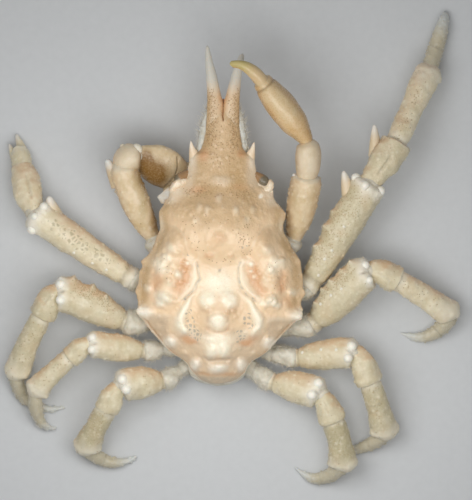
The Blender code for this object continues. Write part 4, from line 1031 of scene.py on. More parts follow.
    @staticmethod
    def cheek() -> Skin:
        """The thin grey-white plate that shows beside the left eye cup, over the arm's root, a little greyed
        by painted shade.
        """
        t = np.linspace(0, 1, 30)
        path = np.array((-4.4, 10.0, 4.9)) + t[:, None] * np.array((-1.75, -1.2, -0.3))
        halves = through(((0, 0.6, 0.14), (0.5, 0.62, 0.14), (0.9, 0.5, 0.1), (1, 0.4, 0.04)), t)
        skin = tube(path, halves, 28)
        skin.mark("tip", 0.75 + 0.3 * rolling(skin.points, 0.5, 12))
        # A little grey all over: painted shade.
        skin.mark("grey", 0.25)
        skin.push(0.06 * rolling(skin.points, 0.6, 14))
        return skin

    def build(self, coat: "Coat") -> None:
        """Makes the plate with its horns, brow spines and eye cups one piece, with short down on its rim."""
        plate = self.shaped()
        parts = [plate.form()]
        for centre, radii in self.cup_lobes:
            parts.append(dome(centre, radii, 20, 28, "white", 0.07))
            parts[-1].marks["white"] *= 0.5
        for wall in self.cup_walls:
            found = through(wall, np.linspace(0, 1, 44))
            skin = tube(found[:, :3], found[:, 3:] * (1.0, 1.3), 28)
            skin.push(0.08 * rolling(skin.points, 0.4, 21) + 0.04 * rolling(skin.points, 0.2, 22))
            skin.mark("white", 0.45 + 0.4 * rolling(skin.points, 0.4, 23))
            # Tan on the faces that turn down: painted shade under the walls.
            skin.mark("tan", 0.35 * smooth(0.3, -0.6, skin.normals()[..., 2]))
            parts.append(skin.form())
        parts.append(self.cheek().form())
        for side in Side:
            parts.append(self.horn(side).form())
            parts.append(self.brow_spine(side).form())
        cover("carapace", parts[0].joined(*parts[1:]), BACK_SHELL)
        rim = smooth(0.9, 1.0, np.abs(plate.turn)) * smooth(13.5, 12.5, plate.points[..., 1])
        coat.grow(plate, 1500, 0.2, rim, 61)


def dome(centre: Point, radii: Point, rows: int = 20, columns: int = 28, mark: str = "skin",
         uneven: float = 0.0) -> Form:
    """A closed rounded mass: centre + radii * (cos a cos b, cos a sin b, sin a), marked all over."""
    rise = np.linspace(-np.pi / 2 + 0.08, np.pi / 2 - 0.08, rows)[:, None]
    turn = np.arange(columns) * 2 * np.pi / columns
    ball = np.stack([np.cos(rise) * np.cos(turn), np.cos(rise) * np.sin(turn), np.sin(rise) + 0 * turn], -1)
    skin = Skin(np.array(centre) + ball * np.array(radii), np.linspace(0, 1, rows), turn)
    skin.push(uneven * rolling(skin.points, 0.35, 7))
    skin.mark(mark, 0.6 + 0.6 * rolling(skin.points, 0.4, 9))
    return skin.form()


def bead(skin: Skin, x: float, y: float, radius: float, out: float = 0.45) -> Form:
    """A white ball in a skin's upper face, at a place seen from above, out by a share of its radius."""
    normals = skin.normals()
    below = np.where(normals[..., 2] > 0.05, 0.0, 50.0)
    apart = np.hypot(skin.points[..., 0] - x, skin.points[..., 1] - y) + below
    row, column = np.unravel_index(np.argmin(apart), apart.shape)
    centre = skin.points[row, column] + normals[row, column] * radius * (out - 1)
    rows, columns, white = (16, 20, 0.9) if radius > 0.3 else (8, 10, 0.65)
    form = dome(tuple(centre), (radius,) * 3, rows, columns, "knob")
    form.marks["knob"] = np.full(len(form.points), white)
    return form


class Coat:
    """Fine bristles, gathered plate by plate in tufts of one, and made into a piece."""

    columns: int = 8

    def __init__(self, name: str) -> None:
        """Starts with none."""
        self.name = name
        self.found: list[tuple[np.ndarray, np.ndarray, np.ndarray]] = []
        self.skins = 0

    def grow(self, skin: Skin, count: int, length: float, weight: np.ndarray, seed: int,
             lie: float = 0.6) -> None:
        """Sets bristles on a skin, at places drawn by weight.

        A bristle is root + length * (way * t + bend * t^2 / 2), three-sided, with radius * (1 - t)^0.8.

        Args:
            skin: The surface that they grow on.
            count: How many.
            length: Their usual length in millimetres.
            weight: How thickly they stand, over the grid's points.
            seed: Which scatter.
            lie: How far they lean towards the plate's far end.
        """
        draw = np.random.default_rng(seed)
        rows, columns = skin.points.shape[:2]
        share = np.clip(np.broadcast_to(weight, (rows, columns)), 0, None)[:-1].copy()
        spread = np.linalg.norm(np.diff(skin.points, axis=0), axis=-1) + 1e-6
        share = (share * spread).reshape(-1)
        spots = draw.choice(len(share), count, p=share / share.sum())
        row, column = spots // columns, spots % columns
        u, v = draw.random((2, count, 1))
        here, beside = skin.points[row, column], skin.points[row, (column + 1) % columns]
        ahead = unit(skin.points[row + 1, column] - here)
        root = here + u * (beside - here) + v * (skin.points[row + 1, column] - here)
        normal = skin.normals()[row, column]
        way = unit(normal + lie * ahead + 0.45 * draw.normal(size=(count, 3)))
        lengths = length * draw.uniform(0.45, 1.25, (count, 1))
        bending = 0.5 * ahead - np.array((0, 0, 0.25)) + 0.3 * draw.normal(size=(count, 3))
        side = unit(np.cross(way, unit(draw.normal(size=(count, 3)))))
        other = np.cross(way, side)
        t = np.array((0.0, 0.4, 0.75, 1.0))
        run = way[:, None] * t[:, None] + bending[:, None] * (t**2 / 2)[:, None]
        centre = (root - normal * 0.03)[:, None] + lengths[:, None] * run
        angles = np.arange(3) * 2 * np.pi / 3
        cosine, sine = np.cos(angles)[:, None], np.sin(angles)[:, None]
        around = side[:, None, None] * cosine + other[:, None, None] * sine
        radius = BRISTLE_RADIUS * (1 - t[:3]) ** 0.8
        rings = centre[:, :3, None] + around * radius[:, None, None]
        points = np.concatenate([rings.reshape(count, 9, 3), centre[:, 3:]], 1)
        points[..., 2] = np.maximum(points[..., 2], FLOOR_CLEARANCE)
        tile = np.array((self.skins % self.columns, self.skins // self.columns)) / self.columns
        flat = np.stack([(column + u[:, 0]) / columns, (row + v[:, 0]) / rows], -1)
        spot = tile + TUFT_PATCH + flat * (1 / self.columns - 2 * TUFT_PATCH)
        local = np.stack([np.tile([-1, 0, 1], 3), np.repeat([-1, 0, 0.7], 3)], -1)
        patch = np.concatenate([local, [[0.0, 1.0]]]) * TUFT_PATCH / 2
        tips = np.broadcast_to(np.repeat(t, (3, 3, 3, 1)), points.shape[:2])
        self.found.append((points, spot[:, None] + patch, tips))
        self.skins += 1

    def build(self) -> None:
        """Makes all the bristles one piece."""
        points, uv, tips = (np.concatenate(part) for part in zip(*self.found))
        start = (np.arange(len(points)) * 10)[:, None, None]
        ring = np.stack([(0, 1, 2), (1, 2, 0), (4, 5, 3), (3, 4, 5)], -1)
        quads = np.concatenate([ring, ring + 3])
        fans = np.array([(6, 7, 9), (7, 8, 9), (8, 6, 9), (0, 2, 1)])
        faces = (start + quads).reshape(-1, 4), (start + fans).reshape(-1, 3)
        form = Form(points.reshape(-1, 3), *faces, {"tip": tips.reshape(-1)})
        piece(self.name, form.outward(), BRISTLE, uv=uv.reshape(-1, 2))


@dataclass(frozen=True)
class Plate:
    """One limb plate between two joints: a gently bent tube, rounded over at both ends."""

    start: np.ndarray
    end: np.ndarray
    leave: np.ndarray
    arrive: np.ndarray
    half_width: float
    half_depth: float
    shape: Table
    upright: Point = (0, 0, 1)
    tuck: float = 0.35
    lip: float = 0.12
    near_round: float = 0.35
    far_round: float = 0.4
    step: float = 0.095
    pull_limit: float = 2.6

    def skin(self) -> Skin:
        """The plate's surface, run back by tuck inside its neighbour and past the joint by lip.

        The line is a cubic from joint to joint with its headings there. Each end closes as a quarter circle.
        """
        t = np.linspace(0, 1, 160)[:, None]
        pull = min(float(np.linalg.norm(self.end - self.start)), self.pull_limit)
        line = self.start * (1 + 2 * t) * (1 - t) ** 2 + self.end * t * t * (3 - 2 * t)
        line = line + pull * (self.leave * t * (1 - t) ** 2 + self.arrive * t * t * (t - 1))
        first, last = self.start - self.leave * self.tuck, self.end + self.arrive * self.lip
        line = np.concatenate([[first], line, [last]])
        run = np.concatenate([[0.0], np.cumsum(np.linalg.norm(np.diff(line, axis=0), axis=1))])
        length = run[-1]
        closing = 1 - np.cos(np.linspace(0.16, np.pi / 2, 8))
        near, far = self.near_round * closing, length - self.far_round * closing[::-1]
        middle = np.linspace(near[-1], far[0], max(6, int((far[0] - near[-1]) / self.step)))
        s = np.concatenate([near, middle[1:-1], far])
        path = np.stack([np.interp(s, run, line[:, k]) for k in range(3)], 1)
        along = (s - self.tuck) / (length - self.tuck - self.lip)
        share = through(self.shape, np.clip(along, 0, 1))
        a, b = np.clip(s / self.near_round, 0, 1), np.clip((length - s) / self.far_round, 0, 1)
        share = share * np.sqrt(1 - (1 - a) ** 2) * np.sqrt(1 - (1 - b) ** 2)
        halves = np.stack([share * self.half_width, share * self.half_depth], 1)
        columns = int(np.clip(2 * np.pi * self.half_width / self.step, 48, 120))
        return tube(path, halves, columns, self.upright, along=along)


def joints_to_plates(joints: tuple[Point, ...]) -> list[tuple[np.ndarray, ...]]:
    """Start, end and both headings of the plates in a row. Neighbours share the heading halfway between."""
    spots = [np.array(joint, float) for joint in joints]
    runs = [unit(b - a) for a, b in zip(spots, spots[1:])]
    headings = [runs[0], *(unit(a + b) for a, b in zip(runs, runs[1:])), runs[-1]]
    return list(zip(spots, spots[1:], headings, headings[1:]))


THIGH_SHAPE = ((0, 0.5), (0.12, 0.66), (0.35, 0.92), (0.6, 1.02), (0.85, 1.02), (1, 0.92))
LONG_THIGH_SHAPE = ((0, 0.62), (0.3, 0.82), (0.7, 0.97), (1, 0.98))
KNEE_SHAPE = ((0, 0.68), (0.25, 0.82), (0.55, 0.99), (0.85, 1.02), (1, 0.97))
LOOSE_KNEE_SHAPE = ((0, 0.62), (0.25, 0.88), (0.55, 1.02), (0.8, 0.94), (1, 0.74))
BALL_SHAPE = ((0, 0.8), (0.25, 0.95), (0.55, 1.02), (0.85, 0.9), (1, 0.72))
SHIN_SHAPE = ((0, 0.9), (0.12, 0.95), (0.5, 0.98), (0.8, 1.13), (0.93, 1.13), (1, 0.98))
FINGER_SHAPE = ((0, 1), (0.2, 1), (0.5, 0.8), (0.8, 0.52), (1, 0.4))
BLADE_SHAPE = ((0, 0.96), (0.15, 0.97), (0.5, 0.74), (0.85, 0.36), (1, 0.1))
STRAIGHT_BLADE_SHAPE = ((0, 1), (0.5, 0.88), (0.85, 0.62), (1, 0.3))
HIP_SHAPE = ((0, 0.95), (0.25, 1.08), (0.42, 0.98), (0.6, 1.12), (0.85, 1.26), (1, 1.24))
PALM_SHAPE = ((0, 0.44), (0.1, 0.62), (0.3, 0.93), (0.55, 1), (0.8, 0.86), (0.93, 0.68), (1, 0.6))


def set_spike(root: Point, tip: Point, radius: float) -> Form:
    """A spine whose foot is sunk 0.8 mm back into the plate that carries it."""
    root, tip = np.array(root, float), np.array(tip, float)
    back = root - unit(tip - root) * SPINE_ROOT - np.array((0, 0, 0.15))
    form = spike(tuple(back), tuple(tip), radius * 1.05, 22, 34, 1.6)
    form.marks["front"] = np.full(len(form.points), 0.4)
    return form


def draw_teeth(skin: Skin, start: np.ndarray, end: np.ndarray, teeth: Table) -> None:
    """Draws blunt teeth out of a plate's flanks: points move by 1.15 r * exp(-1.5 distance to the foot / r).

    Args:
        skin: The plate.
        start: Where its axis starts.
        end: Where its axis ends.
        teeth: The x and y of each tooth's point as seen from above, and its radius r.
    """
    run = unit((end - start)[:2])
    moved, pale = np.zeros_like(skin.points), np.zeros(skin.points.shape[:2])
    for x, y, radius in teeth:
        tip = np.array((x, y))
        out = unit(tip - start[:2] - run * ((tip - start[:2]) @ run))
        apart = np.linalg.norm(skin.points[..., :2] - (tip - out * 1.15 * radius), axis=-1) / radius
        share = np.exp(-1.5 * (np.sqrt(apart**2 + 0.01) - 0.1))
        moved[..., :2] += share[..., None] * out * 1.15 * radius
        pale = np.maximum(pale, 1.3 * share**2)
    skin.points = skin.points + moved
    skin.mark("grain", pale)


@dataclass(frozen=True)
class WalkingLeg:
    """One walking leg in five plates, hip, thigh, knee, shin and blade, with white knobs at the hinge."""

    name: str
    joints: tuple[Point, ...]
    blade: tuple[Point, Point] | None
    half_widths: tuple[float, ...]
    knobs: Table = ()
    spines: tuple[tuple[Point, Point, float], ...] = ()
    knee_spines: tuple[tuple[Point, Point, float], ...] = ()
    pearls: Table = ()
    teeth: Table = ()
    heel: Table = ()
    shades: Point = (0.0, 0.0, 0.0)
    net: tuple[float, float, float, float] = (0.35, 0.7, 0.1, 0.0)
    seed: int = 1

    def parts(self) -> list[tuple[np.ndarray, ...]]:
        """The plates' starts, ends and headings, the last one pointing into the blade."""
        if self.blade is None:
            return joints_to_plates(self.joints)
        ankle = np.array(self.joints[-1])
        return joints_to_plates((*self.joints, tuple(ankle + unit(np.array(self.blade[0]) - ankle))))

    def dress(self, skin: Skin, bone: tuple[float, float], shade: float, net: float = 0.0) -> None:
        """Marks the front edge's peach, the bare ends and the netted patch of pits on the upper face."""
        normals = skin.normals()
        along = skin.along[:, None]
        uneven = 0.2 * rolling(skin.points, 1.2, self.seed + 3)
        skin.mark("front", smooth(0.05, 0.9, normals[..., 1]) * 0.85 + uneven)
        ragged = along + 0.05 * rolling(skin.points, 0.7, self.seed + 9)
        ends = smooth(bone[0], bone[0] - 0.12, ragged) + 0.85 * smooth(bone[1] - 0.02, bone[1] + 0.1, ragged)
        skin.mark("bone", ends)
        skin.mark("bone", 0.7 * smooth(-0.1, -0.8, normals[..., 2]))
        skin.mark("shade", shade)
        skin.mark("pepper", 0.11 * smooth(-0.2, 0.4, normals[..., 2]))
        start, end, lean, strength = self.net
        spread, mark = (0.3, "net") if strength > 0.9 else (0.42, "pepper")
        band = np.exp(-(((normals[..., 1] - lean) / spread) ** 4)) * smooth(0.3, 0.7, normals[..., 2])
        here = band * smooth(start - 0.1, start + 0.06, along) * smooth(end + 0.1, end - 0.06, along)
        skin.mark(mark, net * strength * here)

    def hip(self, part: tuple[np.ndarray, ...], coat: Coat) -> None:
        """The short plates at the leg's root, which end in a swollen cup round the thigh's foot."""
        width = self.half_widths[0]
        skin = Plate(*part, width, width, HIP_SHAPE, tuck=0.6, lip=0.5, far_round=0.55).skin()
        skin.push(0.3 * rolling(skin.points, 1.3, self.seed + 2) - 0.1)
        skin.roughen(self.seed, 0.12, 0.05, 0.42, 0.08, 0.05)
        seam = skin.along[:, None] - 0.42 + 0.08 * rolling(skin.points, 1.0, 5)
        skin.mark("dark", 0.5 * bell(seam, 0.04))
        cover(f"{self.name}_hip", skin.form(), BONE_SHELL)
        coat.grow(skin, 700, 0.42, 0.3 + skin.flank**2, self.seed + 5, 0.3)

    def thigh(self, part: tuple[np.ndarray, ...], coat: Coat) -> None:
        """The long thigh, narrow and rimmed at its root, with teeth or a spine and the white knobs."""
        width, end, arrive = self.half_widths[1], part[1], part[3]
        shape = LONG_THIGH_SHAPE if self.name.startswith("leg_1") else THIGH_SHAPE
        skin = Plate(*part, width, width * 0.92, shape, tuck=0.3, lip=0.1, far_round=0.55).skin()
        along = skin.along[:, None]
        skin.roughen(self.seed + 10, 0.08, 0.035, 0.4, 0.05, 0.04)
        across = unit(np.cross(arrive, (0, 0, 1)))
        offset = skin.points - (end - arrive * 0.5)
        slit = np.exp(-(((offset @ across) / 0.1) ** 2) - ((offset @ arrive) / 0.32) ** 2)
        slit = slit * smooth(0.2, 0.6, skin.normals()[..., 2])
        root_ring = bell(along - 0.085, 0.022)
        px, py = skin.points[..., 0], skin.points[..., 1]
        swollen = sum(bell(np.hypot(px - x, py - y), 1.5 * r) for x, y, r in self.knobs)
        skin.push(0.08 * bell(along - 0.02, 0.03) - 0.08 * root_ring - 0.2 * slit + 0.16 * swollen)
        skin.mark("knob", 0.7 * swollen)
        # Dark in the groove behind the rim at the root and in the slit near the far end: painted shade.
        skin.mark("dark", 0.4 * root_ring + 0.9 * slit)
        draw_teeth(skin, part[0], end, self.teeth)
        self.dress(skin, (0.1, 0.88), self.shades[0], 1.0)
        if self.net[3] < 0.9:
            skin.mark("grain", 0.6 * smooth(0.55, 0.75, rolling(skin.points, 0.5, self.seed)))
        extra = [bead(skin, x, y, 1.12 * r, 0.55) for x, y, r in self.knobs]
        extra += [bead(skin, x, y, 0.2, 0.5) for x, y in self.pearls]
        extra += [set_spike(*spine) for spine in self.spines]
        cover(f"{self.name}_thigh", skin.form().joined(*extra), LEG_SHELL)
        coat.grow(skin, 520, 0.3, skin.flank**6 + 0.25 * (np.sin(skin.turn) < -0.3), self.seed + 15)

    def knee(self, part: tuple[np.ndarray, ...], coat: Coat) -> None:
        """The knee plate: a bent barrel with a swollen back and a shallow groove on top."""
        width = self.half_widths[2]
        shape = KNEE_SHAPE if self.blade else LOOSE_KNEE_SHAPE
        skin = Plate(*part, width, width * 0.92, shape, tuck=0.35, lip=0.12, far_round=0.18).skin()
        skin.push(0.14 * rolling(skin.points, 1.1, self.seed + 8))
        skin.roughen(self.seed + 20, 0.08, 0.03, 0.4, 0.05, 0.03)
        groove = bell(np.cos(skin.turn) - 0.18, 0.12) * (np.sin(skin.turn) > 0)
        groove = groove * smooth(0.15, 0.3, skin.along)[:, None] * smooth(0.8, 0.6, skin.along)[:, None]
        deep = 1.0 if self.name.startswith("leg_1") else 0.4
        skin.push(-0.14 * deep * groove)
        # Dark along the groove on top, more where it is deeper: painted shade.
        skin.mark("dark", 0.25 * deep * groove)
        self.dress(skin, (0.02, 0.97), self.shades[1])
        extra = [set_spike(*spine) for spine in self.knee_spines]
        cover(f"{self.name}_knee", skin.form().joined(*extra), LEG_SHELL)
        coat.grow(skin, 260, 0.26, skin.flank**4, self.seed + 25)

    def shin(self, part: tuple[np.ndarray, ...], coat: Coat) -> None:
        """The shin, which swells to a knobbed heel where the blade is set in."""
        width = self.half_widths[3]
        skin = Plate(*part, width, width * 0.95, SHIN_SHAPE, tuck=0.4, lip=0.45, far_round=0.75).skin()
        along = skin.along[:, None]
        skin.roughen(self.seed + 30, 0.08, 0.025, 0.4, 0.05, 0.02)
        corner = bell(along - 0.9, 0.07) * (0.6 + rolling(skin.points, 0.9, self.seed)) * skin.flank**2
        skin.push(0.18 * corner)
        draw_teeth(skin, part[0], part[1], self.heel)
        self.dress(skin, (-0.1, 1.3), self.shades[2] * smooth(1.0, 0.7, along))
        skin.mark("bone", 0.6 * smooth(0.62, 0.98, along + 0.15 * rolling(skin.points, 0.9, self.seed + 4)))
        skin.mark("bone", 0.5 * smooth(0.12, 0.02, along + 0.05 * rolling(skin.points, 0.6, self.seed + 6)))
        skin.mark("pepper", 0.25 * smooth(0.6, 0.95, skin.normals()[..., 2]) * smooth(0.85, 0.6, along))
        cover(f"{self.name}_shin", skin.form(), LEG_SHELL)
        coat.grow(skin, 420, 0.26, skin.flank**4 + 0.2, self.seed + 35)

    def foot(self, coat: Coat) -> None:
        """The hooked blade, rough and downy at its root, clear and sharp at its point."""
        ankle, bow, tip = (np.array(p, float) for p in (self.joints[-1], *self.blade))
        straight = self.name == "leg_1_right"
        ends = np.linspace(0, 1, 100)
        path = bend(ankle - unit(bow - ankle) * 0.3, bow, tip, 100)
        widths = through(STRAIGHT_BLADE_SHAPE if straight else BLADE_SHAPE, ends) * self.half_widths[4]
        path[:, 2] = np.maximum(path[:, 2], widths - 0.06)
        cap = round_ends(ends, 0.04, 0.03)
        skin = tube(path, np.stack([widths * 0.9, widths], 1) * cap[:, None], 52, along=ends)
        skin.roughen(self.seed + 40, 0.08, 0.05, 0.34, 0.1)
        skin.mark("tip", smooth(0.45, 0.9, ends)[:, None])
        cover(f"{self.name}_blade", skin.form(), CLAW_HORN, "horn")
        fade = smooth(0.95, 0.5, ends)[:, None]
        coat.grow(skin, 300, 0.24, (0.3 + skin.flank**4) * fade, self.seed + 45, 0.9)

    def stump(self, part: tuple[np.ndarray, ...], coat: Coat) -> None:
        """The broken shin: a short tube with a hollow end and two shards of shell on its rim."""
        start, run, width = part[0], part[1] - part[0], self.half_widths[3]
        ahead = unit(run)
        t = np.linspace(0, 1, 90)
        found = through((
            (0.0, -0.35, 0.6), (0.08, -0.3, 0.9), (0.16, -0.1, 0.97), (0.25, 0.15, 0.98), (0.4, 0.46, 0.98),
            (0.55, 0.68, 0.92), (0.66, 0.82, 0.84), (0.72, 0.84, 0.74), (0.8, 0.76, 0.62), (0.9, 0.6, 0.5),
            (1.0, 0.5, 0.3),
        ), t)
        places, shares = found[:, 0], found[:, 1]
        skin = tube(t[:, None] * ahead, np.stack([shares, shares], 1) * width, 60)
        offset = skin.points - (t[:, None] * ahead)[:, None]
        ragged = 0.3 * rolling(offset + 5, 0.6, 8) * smooth(0.4, 0.62, t)[:, None]
        skin.points = start + run * places[:, None, None] + offset + ahead * ragged[..., None]
        skin.along = places
        skin.roughen(self.seed + 30, 0.05, 0.03, 0.4, 0.05)
        skin.mark("bone", smooth(0.4, 1.0, places)[:, None] * smooth(0.72, 0.66, t)[:, None])
        # Dark inside the hollow end: painted shade.
        skin.mark("dark", smooth(0.66, 0.76, t)[:, None])
        skin.mark("shade", self.shades[2])
        across = unit(np.cross(ahead, (0, 0, 1)))
        extra = []
        for foot, point, radius in ((0.4, (0.0, 1.4), 0.6), (-0.6, (-0.85, 0.5), 0.42)):
            rim = start + run + across * width * foot
            tip = start + run + across * width * point[0] + ahead * point[1]
            extra.append(spike(tuple(rim - ahead * 1.1), tuple(tip), radius, 16, 20, 1.7))
        cover(f"{self.name}_shin", skin.form().joined(*extra), LEG_SHELL)
        coat.grow(skin, 200, 0.26, np.where(t < 0.6, 1.0, 0.0)[:, None], self.seed + 35)

    def joint_skin(self, parts: list[tuple[np.ndarray, ...]]) -> None:
        """The puckered white skin seen in the gaps between the plates."""
        balls = []
        for part, near, far in zip(parts[1:], self.half_widths[:4], self.half_widths[1:]):
            radius = 0.7 * min(near, max(far, 0.6))
            balls.append(dome(tuple(part[0]), (radius, radius, radius * 0.92)))
        piece(f"{self.name}_joint_skin", balls[0].joined(*balls[1:]), JOINT_SKIN)

    def build(self, coat: Coat) -> None:
        """Makes the leg's plates from hip to foot."""
        parts = self.parts()
        self.hip(parts[0], coat)
        self.thigh(parts[1], coat)
        self.knee(parts[2], coat)
        if self.blade is None:
            self.stump(parts[3], coat)
        else:
            self.shin(parts[3], coat)
            self.foot(coat)
        self.joint_skin(parts[:4])


WALKING_LEGS = (
    WalkingLeg(
        "leg_1_left",
        ((-5.7, -0.1, 2), (-8.6, 0.9, 2.7), (-18.6, 7.4, 3.6), (-20, 11.9, 1.7), (-20.45, 13.9, 0.86)),
        None, (1, 1.65, 1.45, 1.02, 0),
        knobs=((-18.95, 5.5, 0.5), (-17.75, 8.1, 0.4), (-18.6, 7, 0.35)),
        spines=(((-16.75, 7.3, 3.6), (-17.25, 8.98, 4.2), 1),),
        pearls=((-12.7, 2.38), (-14.6, 3.37), (-11.34, 1.74)),
        net=(0.24, 0.84, 0.02, 1), shades=(0, 0, 0.3), seed=101,
    ),
    WalkingLeg(
        "leg_1_right",
        ((5.7, -0.4, 2), (8.8, 0.6, 2.7), (14.85, 11.1, 4.5), (17.35, 15.1, 4.1), (20.6, 22.7, 1.5)),
        ((21.6, 25.9, 0.2), (22.1, 28.35, 0.2)), (1, 1.75, 1.6, 1.2, 0.93),
        knobs=((13.45, 11.8, 0.42), (16.05, 10.4, 0.45), (14.4, 10.9, 0.4)),
        spines=(((12.65, 10.3, 4.5), (12.15, 12.2, 4.9), 0.78),),
        teeth=((10.2, 6.75, 0.5), (9.32, 4.68, 0.5), (10.75, 8.3, 0.4)), shades=(0.6, 0.5, 0),
        knee_spines=(((15.3, 14.6, 4.2), (15.14, 16.88, 4.5), 0.72),),
        pearls=((11.2, 4.18), (10.46, 3.31), (9.9, 1.68), (12.3, 6.6)), net=(0.2, 0.9, 0.1, 0.5), seed=201,
    ),
    WalkingLeg(
        "leg_2_left",
        ((-5.3, -3.2, 1.9), (-9, -3.4, 2.5), (-16.2, -0.7, 4.4), (-17.7, -3, 3.9), (-20.2, -9.1, 1.7)),
        ((-19.6, -13, -0.6), (-15.2, -12.2, 0.2)), (1, 1.7, 1.4, 1.12, 0.78),
        knobs=((-16, -1.3, 0.44), (-15.95, 0.3, 0.46)),
        teeth=((-11.22, -0.7, 0.4), (-12.51, 0.35, 0.4), (-14.48, 1.18, 0.46), (-15.8, 0.98, 0.42)),
        shades=(0.35, 0.55, 0.6),
        net=(0.3, 0.85, 0.4, 0.7), seed=301,
    ),
    WalkingLeg(
        "leg_2_right",
        ((5.3, -3.3, 1.9), (9.3, -3.2, 2.5), (15, 2.2, 4.4), (17.8, 1.4, 4), (23.2, -2.2, 1.7)),
        ((21.5, -5.3, -0.4), (18.3, -3.9, 0.3)), (1, 1.78, 1.4, 1.15, 0.9),
        knobs=((15.05, 1.4, 0.36), (14.6, 2.9, 0.4)),
        teeth=(
            (12.9, 3.28, 0.44), (12, 2.38, 0.36), (10.95, 1.3, 0.42), (10.15, 0.45, 0.38),
            (14.29, 3.78, 0.42), (9.45, -0.95, 0.35),
        ),
        heel=((24.2, -2.33, 0.6),), shades=(0.5, 0.35, 0),
        pearls=((12.2, 0.45), (11.13, -0.27), (10.13, -1.14)),
        net=(0.3, 0.85, 0.4, 0.7), seed=401,
    ),
    WalkingLeg(
        "leg_3_left",
        ((-4.3, -5.7, 1.9), (-7.2, -6.3, 2.4), (-12.9, -5.8, 4.1), (-14.8, -7.1, 3.7), (-18.2, -10.7, 2.6)),
        ((-18.4, -14.2, 1.1), (-16.1, -14.3, 0.2)), (0.95, 1.35, 1.15, 1.02, 0.78),
        knobs=((-12.7, -5, 0.4), (-12.65, -6.3, 0.4)), shades=(0.2, 0.3, 0.3), seed=501,
    ),
    WalkingLeg(
        "leg_3_right",
        ((4.3, -5.7, 1.9), (7.7, -6.6, 2.4), (13.7, -6.1, 4.1), (15.3, -8.9, 3.7), (16.85, -14.1, 1.7)),
        ((15, -16, -0.4), (12.1, -16, 0.3)), (0.95, 1.5, 1.36, 1.18, 0.82),
        knobs=((13.55, -5.3, 0.46), (13.15, -6.55, 0.42)),
        pearls=((8.45, -6.05), (10.3, -5.75), (11.85, -5.7)),
        shades=(0.3, 0.3, 0.75), seed=601,
    ),
    WalkingLeg(
        "leg_4_left",
        ((-2.7, -7.5, 1.9), (-5.3, -9.1, 2.4), (-9.7, -9.9, 4), (-11.1, -12.3, 3.6), (-12.8, -16.3, 1.7)),
        ((-10.2, -18.6, -0.5), (-7.95, -16.9, 0.3)), (0.9, 1.6, 1.25, 1.15, 0.82),
        knobs=((-9.6, -9.1, 0.46), (-9.15, -10.2, 0.46)), shades=(0.2, 0.35, 0.95), seed=701,
    ),
    WalkingLeg(
        "leg_4_right",
        ((2.7, -7.5, 1.9), (5.3, -9, 2.4), (10.4, -10.3, 4), (11.7, -12.8, 3.6), (12.75, -17.4, 2.4)),
        ((10.4, -19.9, -0.6), (8.05, -17.65, 0.3)), (0.9, 1.55, 1.35, 1.2, 0.85),
        knobs=((10.15, -9, 0.46), (9.5, -10.3, 0.46)), heel=((13.46, -18.33, 0.55),),
        shades=(0.2, 0.4, 1), seed=801,
    ),
)


